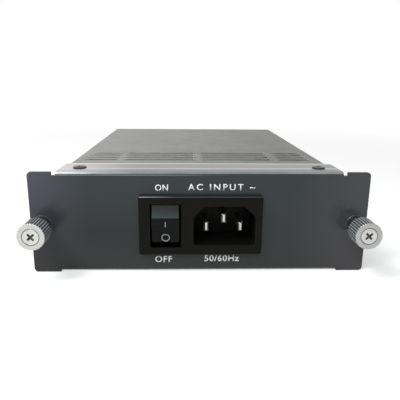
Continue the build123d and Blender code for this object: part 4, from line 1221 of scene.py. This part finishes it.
def shade_recess(obj, places, width, reach):
    """Paints shade on the walls and floor of each cross recess, in the dark recess_shade finish.

    Places are (middle of the head's top, outward axis) pairs; width is the recess's, in metres.
    """
    mesh = obj.data
    mesh.materials.append(bpy.data.materials["recess_shade"])
    shade = len(mesh.materials) - 1
    below_top = -0.03 * MM
    for face in mesh.polygons:
        for place, axis in places:
            offset = face.center - place
            drop = offset.dot(axis)
            side = offset - axis * drop
            inward = face.normal.dot(side) < 0.0 or face.normal.dot(axis) > 0.3
            if -reach < drop < below_top and side.length < width * 0.52 and inward:
                face.material_index = shade
                break


class PSU_OT_screws(bpy.types.Operator):
    """Builds every cross-recessed screw outside and inside the case"""

    bl_idname = "psu.screws"
    bl_label = "Screws"

    # Node, name, head radius, head height, shank radius, length in millimetres, finish and axis
    domed = [
        ("flange_screws", "flange_screw_set", 2.7, 0.55, 1.45, 5.0, "black_steel", (0, 0, 1)),
        ("board_screws", "board_screw_set", 2.4, 1.4, 1.25, 5.0, "screw_steel", (0, 0, 1)),
        ("primary_sink_screw", "primary_sink_fixing", 2.7, 1.6, 1.45, 4.3, "screw_steel",
         (1, 0, 0)),
        ("secondary_sink_screw", "secondary_sink_fixing", 2.7, 1.6, 1.45, 4.3, "screw_steel",
         (-1, 0, 0)),
    ]
    # Node, name, head radius, shank radius, length in millimetres, and axis
    flush = [
        ("underside_screws", "underside_screw_set", 2.6, 1.45, 4.0,
         lambda place: Vector((0, 0, -1))),
        ("side_screws", "side_screw_set", 2.6, 1.45, 4.0,
         lambda place: Vector((math.copysign(1.0, place.x), 0, 0))),
    ]

    def build(self, tree, name, points, head, height, places, material, node):
        """Screws of one profile at their places, as one piece."""
        recess = head * 1.1
        seats = places_object(f"{name}_places",
                              [(place - axis * height * MM, axis) for place, axis in places])
        obj = profile_object(name, points)
        run_group(obj, tree, {
            "Segments": 48, "Thread Pitch": 0.5 * MM, "Thread Depth": 0.22 * MM,
            "Head Top": height * MM, "Recess Size": recess * MM, "Recess Depth": 1.0 * MM,
            "Places": seats, "Seed": 5, "Material": bpy.data.materials[material]})
        bpy.data.objects.remove(seats)
        shade_recess(obj, places, recess * MM, 2.6 * MM)
        smooth_by_angle(obj.data, 35)
        adopt(obj, "chassis", [node])

    def execute(self, context):
        tree = screw_group()
        for node, name, head, height, shank, length, material, axis in self.domed:
            places = screw_places(node, lambda place, way=axis: Vector(way))
            if node == "flange_screws":
                places = [(Vector((place.x, place.y, PANEL_TOP + height * MM)), way)
                          for place, way in places]
            self.build(tree, name, domed_profile(head, height, shank, length), head, height,
                       places, material, node)
        for node, name, head, shank, length, axis in self.flush:
            self.build(tree, name, flush_profile(head, shank, length), head, 0.0,
                       screw_places(node, axis), "black_steel", node)
        return {"FINISHED"}


class PSU_OT_thumbscrews(bpy.types.Operator):
    """Builds both captive thumbscrews: knob, screw, ferrule, washer, spring and clip"""

    bl_idname = "psu.thumbscrews"
    bl_label = "Thumbscrews"

    # Radii and lengths in millimetres
    head = 3.05
    head_depth = 1.8
    knob_bore = 1.95
    knob_wall = 2.8
    knob_skirt = 4.1
    shank = 1.9
    shank_end = 17.4
    thread = 1.5
    play = 1.96

    def spot(self, side, part):
        """The front of a part, on its thumbscrew's axis."""
        centre = middle(f"{side}_thumb_knob")
        return Vector((centre.x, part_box(f"{side}_thumb_{part}")[0].y, centre.z))

    def turned(self, side, part, spot, points, body, slot, material, sizes):
        """A turned piece facing the front, with its height 0 at a spot."""
        name = f"{side}_{part}"
        places = places_object(f"{name}_place", [(spot, FORWARD)])
        obj = profile_object(name, points)
        recess = sizes.get("Recess Size")
        run_group(obj, self.screw_tree if recess else self.turned_tree, {
            "Segments": 96, "Places": places, "Seed": 2,
            "Material": bpy.data.materials[material], **sizes})
        bpy.data.objects.remove(places)
        outward(obj.data)
        if recess:
            shade_recess(obj, [(spot, FORWARD)], recess, 3.2 * MM)
        smooth_by_angle(obj.data, 30)
        adopt(obj, body, [f"{side}_thumb_{part}"])
        return obj

    def build_knob(self, side, front):
        detail = settings().detail
        size = extent(f"{side}_thumb_knob") / MM
        points = knob_profile(size.x / 2, size.y, self.knob_wall, self.knob_skirt,
                              self.head + 0.15, self.head_depth, self.knob_bore)
        knob = self.turned(side, "knob", front, points, f"{side}_thumbscrew", "knob_nickel",
                           "knob_nickel", {
                               "Segments": detail.knurl_count * 8,
                               "Knurl Count": detail.knurl_count,
                               "Knurl Depth": detail.knurl_depth})
        # Painted shade on the walls of the knob's counterbore round the screw head.
        shade_recess(knob, [(front, FORWARD)], 2 * (self.head + 0.3) * MM, 1.9 * MM)

    def build_screw(self, side, front):
        head, shank, thread, end = self.head, self.shank, self.thread, -self.shank_end
        points = plain((0.0, 0.0), (head - 0.12, 0.0), (head - 0.03, -0.05), (head, -0.14),
                       (head, 0.04 - self.head_depth), (head - 0.06, -self.head_depth),
                       (shank, -self.head_depth), (shank, end + 0.25), (thread + 0.15, end),
                       (thread, end))
        reach = extent(f"{side}_thumb_screw").y / MM
        points += threaded(thread, end - 0.05, -reach, 0.5, 0.4)
        screw = self.turned(side, "screw", front, points, f"{side}_thumbscrew", "screw_steel",
                            "screw_steel", {
                                "Thread Pitch": 0.5 * MM, "Thread Depth": 0.24 * MM,
                                "Head Top": 0.0, "Recess Size": 3.3 * MM,
                                "Recess Depth": 1.25 * MM})
        self.shade_nick(screw.data, front, head * MM)

    def shade_nick(self, mesh, centre, radius):
        """Paints shade, in the recess_shade finish, on a short arc of the screw head's edge at the
        lower left, where a staked nick would lie in shadow.
        """
        shade = mesh.materials.find("recess_shade")
        nick = centre + Vector((-0.47, 0.0, -0.88)) * radius
        for face in mesh.polygons:
            offset = face.center - centre
            outer = math.hypot(offset.x, offset.z) > radius - 0.3 * MM
            if outer and abs(offset.y) < 0.4 * MM and (face.center - nick).length < 0.8 * MM:
                face.material_index = shade

    def build_ferrule(self, side):
        spot = self.spot(side, "ferrule")
        face = (spot.y - FACE_Y) / MM
        points = plain((3.2, -0.12), (3.32, 0.0), (3.68, 0.0), (3.8, -0.12), (3.8, face + 0.6),
                       (3.95, face + 0.6), (4.0, face + 0.55), (4.0, face), (3.4, face),
                       (3.4, face - 1.2), (self.play, face - 1.2), (self.play, face),
                       (3.2, face), (3.2, -0.12))
        self.turned(side, "ferrule", spot, points, "chassis", "knob_nickel", "ferrule_steel", {})

    def build_spring(self, side, axis):
        name, node = f"{side}_spring", f"{side}_thumb_spring"
        low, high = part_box(node)
        length = high.y - low.y
        wire = 0.5 * MM
        obj = new_object(name, bpy.data.meshes.new(name))
        run_group(obj, self.spring_tree, {
            "Radius": (high.x - low.x) / 2 - wire / 2, "Wire": wire, "Length": length,
            "Turns": settings().detail.spring_turns,
            "Material": bpy.data.materials["spring_steel"]})
        obj.data.transform(Matrix.Translation((axis.x, low.y, axis.z)))
        outward(obj.data)
        smooth_by_angle(obj.data, 50)
        adopt(obj, f"{side}_spring_seat", [node])
        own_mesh(obj)

    def execute(self, context):
        self.turned_tree = turned_group()
        self.screw_tree = bpy.data.node_groups["Cross-recessed screw"]
        self.spring_tree = spring_group()
        washer = ring_profile(self.play, 2.8, 0.5, 0.05)
        clip = ring_profile(self.shank, 2.9, 0.6, 0.08)
        for side in SIDES:
            front = self.spot(side, "knob")
            self.build_knob(side, front)
            self.build_screw(side, front)
            self.build_ferrule(side)
            self.turned(side, "washer", self.spot(side, "washer"), washer, f"{side}_spring_seat",
                        "screw_steel", "screw_steel", {})
            self.turned(side, "clip", self.spot(side, "clip"), clip, f"{side}_thumbscrew",
                        "screw_steel", "spring_steel", {})
            self.build_spring(side, front)
        return {"FINISHED"}


class PSU_OT_board(bpy.types.Operator):
    """Builds the converter board and the contact pads of its edge tongue"""

    bl_idname = "psu.board"
    bl_label = "Board"

    pad_length = 6.4 * MM
    pad_width = 1.45 * MM
    row_span = 37.2 * MM
    plating = 0.05 * MM
    edge_margin = 0.5 * MM

    def execute(self, context):
        repaint("circuit_board", "board_green")
        low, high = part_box("circuit_board")
        obj = new_object("edge_contacts", bpy.data.meshes.new("edge_contacts"))
        run_group(obj, contact_group(), {
            "Count": settings().detail.contact_count, "Span": self.row_span,
            "Pad Width": self.pad_width, "Pad Length": self.pad_length,
            "Board Thickness": high.z - low.z, "Plating": self.plating,
            "Material": bpy.data.materials["contact_gold"]})
        obj.data.transform(Matrix.Translation(
            (0.0, high.y - self.edge_margin - self.pad_length / 2, (low.z + high.z) / 2)))
        adopt(obj, "chassis", [])
        return {"FINISHED"}


class PSU_OT_chokes(bpy.types.Operator):
    """Winds the turns of wire on both ring chokes"""

    bl_idname = "psu.chokes"
    bl_label = "Chokes"

    wire = 1.1 * MM
    core_bore = 5.0 * MM
    half_arc = 2.45

    def execute(self, context):
        tree = winding_group()
        gap = self.wire * 0.55
        for choke in ("filter_choke", "output_choke"):
            name, core = f"{choke}_turns", f"{choke}_core"
            size = extent(core)
            obj = new_object(name, bpy.data.meshes.new(name))
            run_group(obj, tree, {
                "Inner Radius": self.core_bore - gap, "Outer Radius": size.x / 2 + gap,
                "Wire": self.wire, "Height": size.z + 2 * gap,
                "Turns": settings().detail.winding_turns, "Arc": self.half_arc,
                "Material": bpy.data.materials["enamelled_wire"]})
            obj.data.transform(Matrix.Translation(middle(core)))
            smooth_by_angle(obj.data, 60)
            adopt(obj, "chassis", [f"{choke}_windings"])
        return {"FINISHED"}


def repaint(node, material):
    """Gives a CAD node that stays in sight another finish."""
    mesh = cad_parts[node].data
    mesh.materials.clear()
    mesh.materials.append(bpy.data.materials[material])


class PSU_OT_components(bpy.types.Operator):
    """Gives the remaining parts inside the case their finishes"""

    bl_idname = "psu.components"
    bl_label = "Components"

    finishes = {
        "insulator": ["insulation_sheet"],
        "standoff_brass": ["board_standoffs"],
        "film_yellow": ["film_capacitor"],
        "tape_yellow": ["transformer_winding"],
        "ferrite": ["filter_choke_core", "output_choke_core", "transformer_core"],
        "dark_plastic": ["filter_choke_base", "output_choke_base", "bridge_rectifier",
                         "power_transistor", "rectifier_diode", "control_chips"],
        "disc_blue": ["safety_discs"],
        "fuse_glass": ["fuse_tube"],
        "screw_steel": ["fuse_caps", "fuse_clips", "earth_stud", "earth_terminal", "earth_nut"],
        "sleeve": ["bulk_capacitor", "output_capacitors"],
        "sink_aluminium": ["primary_heatsink", "secondary_heatsink"],
        "live_wire": ["live_lead"],
        "neutral_wire": ["neutral_lead"],
        "earth_wire": ["earth_lead"],
    }

    def execute(self, context):
        for material, nodes in self.finishes.items():
            for node in nodes:
                repaint(node, material)
        return {"FINISHED"}


class PSU_OT_stage(bpy.types.Operator):
    """Sets the white floor, the soft lights and the photograph's camera"""

    bl_idname = "psu.stage"
    bl_label = "Stage"

    # Name, place and size in metres, power in watts, and colour
    lamps = [
        ("key_light", (-0.4, -0.36, 0.62), (0.22, 0.22), 3.0, (1.0, 0.985, 0.97)),
        ("front_light", (-0.15, -0.57, 0.45), (0.34, 0.2), 2.0, (0.9, 1.0, 0.98)),
        ("rear_light", (-0.5, 0.45, 0.3), (0.3, 0.2), 0.3, (1.0, 1.0, 1.0)),
    ]
    lamp_target = Vector((0.0, -0.02, 0.02))

    def floor(self, stage):
        mesh = bpy.data.meshes.new("studio_floor")
        half = 4.0
        drop = -0.02 * MM
        mesh.from_pydata([(-half, -half, drop), (half, -half, drop), (half, half, drop),
                          (-half, half, drop)], [], [(0, 1, 2, 3)])
        mesh.materials.append(floor_finish(stage.floor_glow))
        new_object("studio_floor", mesh)

    def lights(self):
        for name, place, size, power, colour in self.lamps:
            lamp = bpy.data.lights.new(name, "AREA")
            lamp.shape = "RECTANGLE"
            lamp.size, lamp.size_y = size
            lamp.energy = power
            lamp.color = colour
            obj = new_object(name, lamp)
            obj.location = place
            obj.rotation_mode = "QUATERNION"
            obj.rotation_quaternion = (self.lamp_target - Vector(place)).to_track_quat("-Z", "Y")

    def world(self, stage):
        world = bpy.data.worlds.new("studio")
        world.use_nodes = True
        bpy.context.scene.world = world
        graph = Graph(world.node_tree)
        world.node_tree.nodes.clear()
        strength = graph.mix_value(graph.seen_rays(), stage.ambient, 1.0)
        background = graph.result("ShaderNodeBackground", {"Color": rgba(1.0),
                                                           "Strength": strength})
        graph.add("ShaderNodeOutputWorld", {"Surface": background})
        graph.arrange()

    def camera(self, stage):
        lens = bpy.data.cameras.new("photo_camera")
        lens.sensor_width = 36.0
        lens.lens = stage.camera_lens
        lens.clip_start, lens.clip_end = 0.005, 20.0
        obj = new_object("photo_camera", lens)
        yaw, pitch, roll = stage.camera_yaw, stage.camera_pitch, stage.camera_roll
        ahead = Vector((math.sin(yaw) * math.cos(pitch), math.cos(yaw) * math.cos(pitch),
                        -math.sin(pitch)))
        level = Vector((math.cos(yaw), -math.sin(yaw), 0.0))
        above = level.cross(ahead)
        right = level * math.cos(roll) + above * math.sin(roll)
        up = above * math.cos(roll) - level * math.sin(roll)
        turn = Matrix((right, up, -ahead)).transposed()
        obj.matrix_world = Matrix.Translation(
            (stage.camera_side, FACE_Y - stage.camera_back, stage.camera_height)) @ turn.to_4x4()
        bpy.context.scene.camera = obj

    def execute(self, context):
        stage = settings().stage
        self.floor(stage)
        self.lights()
        self.world(stage)
        self.camera(stage)
        context.scene.view_settings.view_transform = "Standard"
        return {"FINISHED"}


STEPS = [PSU_OT_materials, PSU_OT_sheet_parts, PSU_OT_inlet_module, PSU_OT_rocker,
         PSU_OT_lettering, PSU_OT_screws, PSU_OT_thumbscrews, PSU_OT_board, PSU_OT_chokes,
         PSU_OT_components, PSU_OT_stage]


class PSU_PT_sidebar(bpy.types.Panel):
    """Settings and build steps of the power supply"""

    bl_idname = "PSU_PT_sidebar"
    bl_label = "Power supply"
    bl_space_type = "VIEW_3D"
    bl_region_type = "UI"
    bl_category = "Power supply"

    def draw(self, context):
        layout = self.layout
        for group in (settings().finish, settings().detail, settings().stage):
            box = layout.box()
            for name in group.bl_rna.properties.keys():
                if name not in ("rna_type", "name"):
                    box.prop(group, name)
        for step in STEPS:
            layout.operator(step.bl_idname, text=step.bl_label)


CLASSES = [PsuFinishSettings, PsuDetailSettings, PsuStageSettings, PsuSettings, *STEPS,
           PSU_PT_sidebar]


def register():
    """Registers the settings, the operators and the panel."""
    for item in CLASSES:
        bpy.utils.register_class(item)
    bpy.types.Scene.psu = bpy.props.PointerProperty(type=PsuSettings)


def unregister():
    """Removes what register added."""
    del bpy.types.Scene.psu
    for item in reversed(CLASSES):
        bpy.utils.unregister_class(item)


def main():
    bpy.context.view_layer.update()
    register()
    for step in STEPS:
        prefix, name = step.bl_idname.split(".")
        result = getattr(getattr(bpy.ops, prefix), name)()
        if result != {"FINISHED"}:
            raise RuntimeError(f"{step.bl_label} did not finish")


if __name__ == "__main__":
    main()
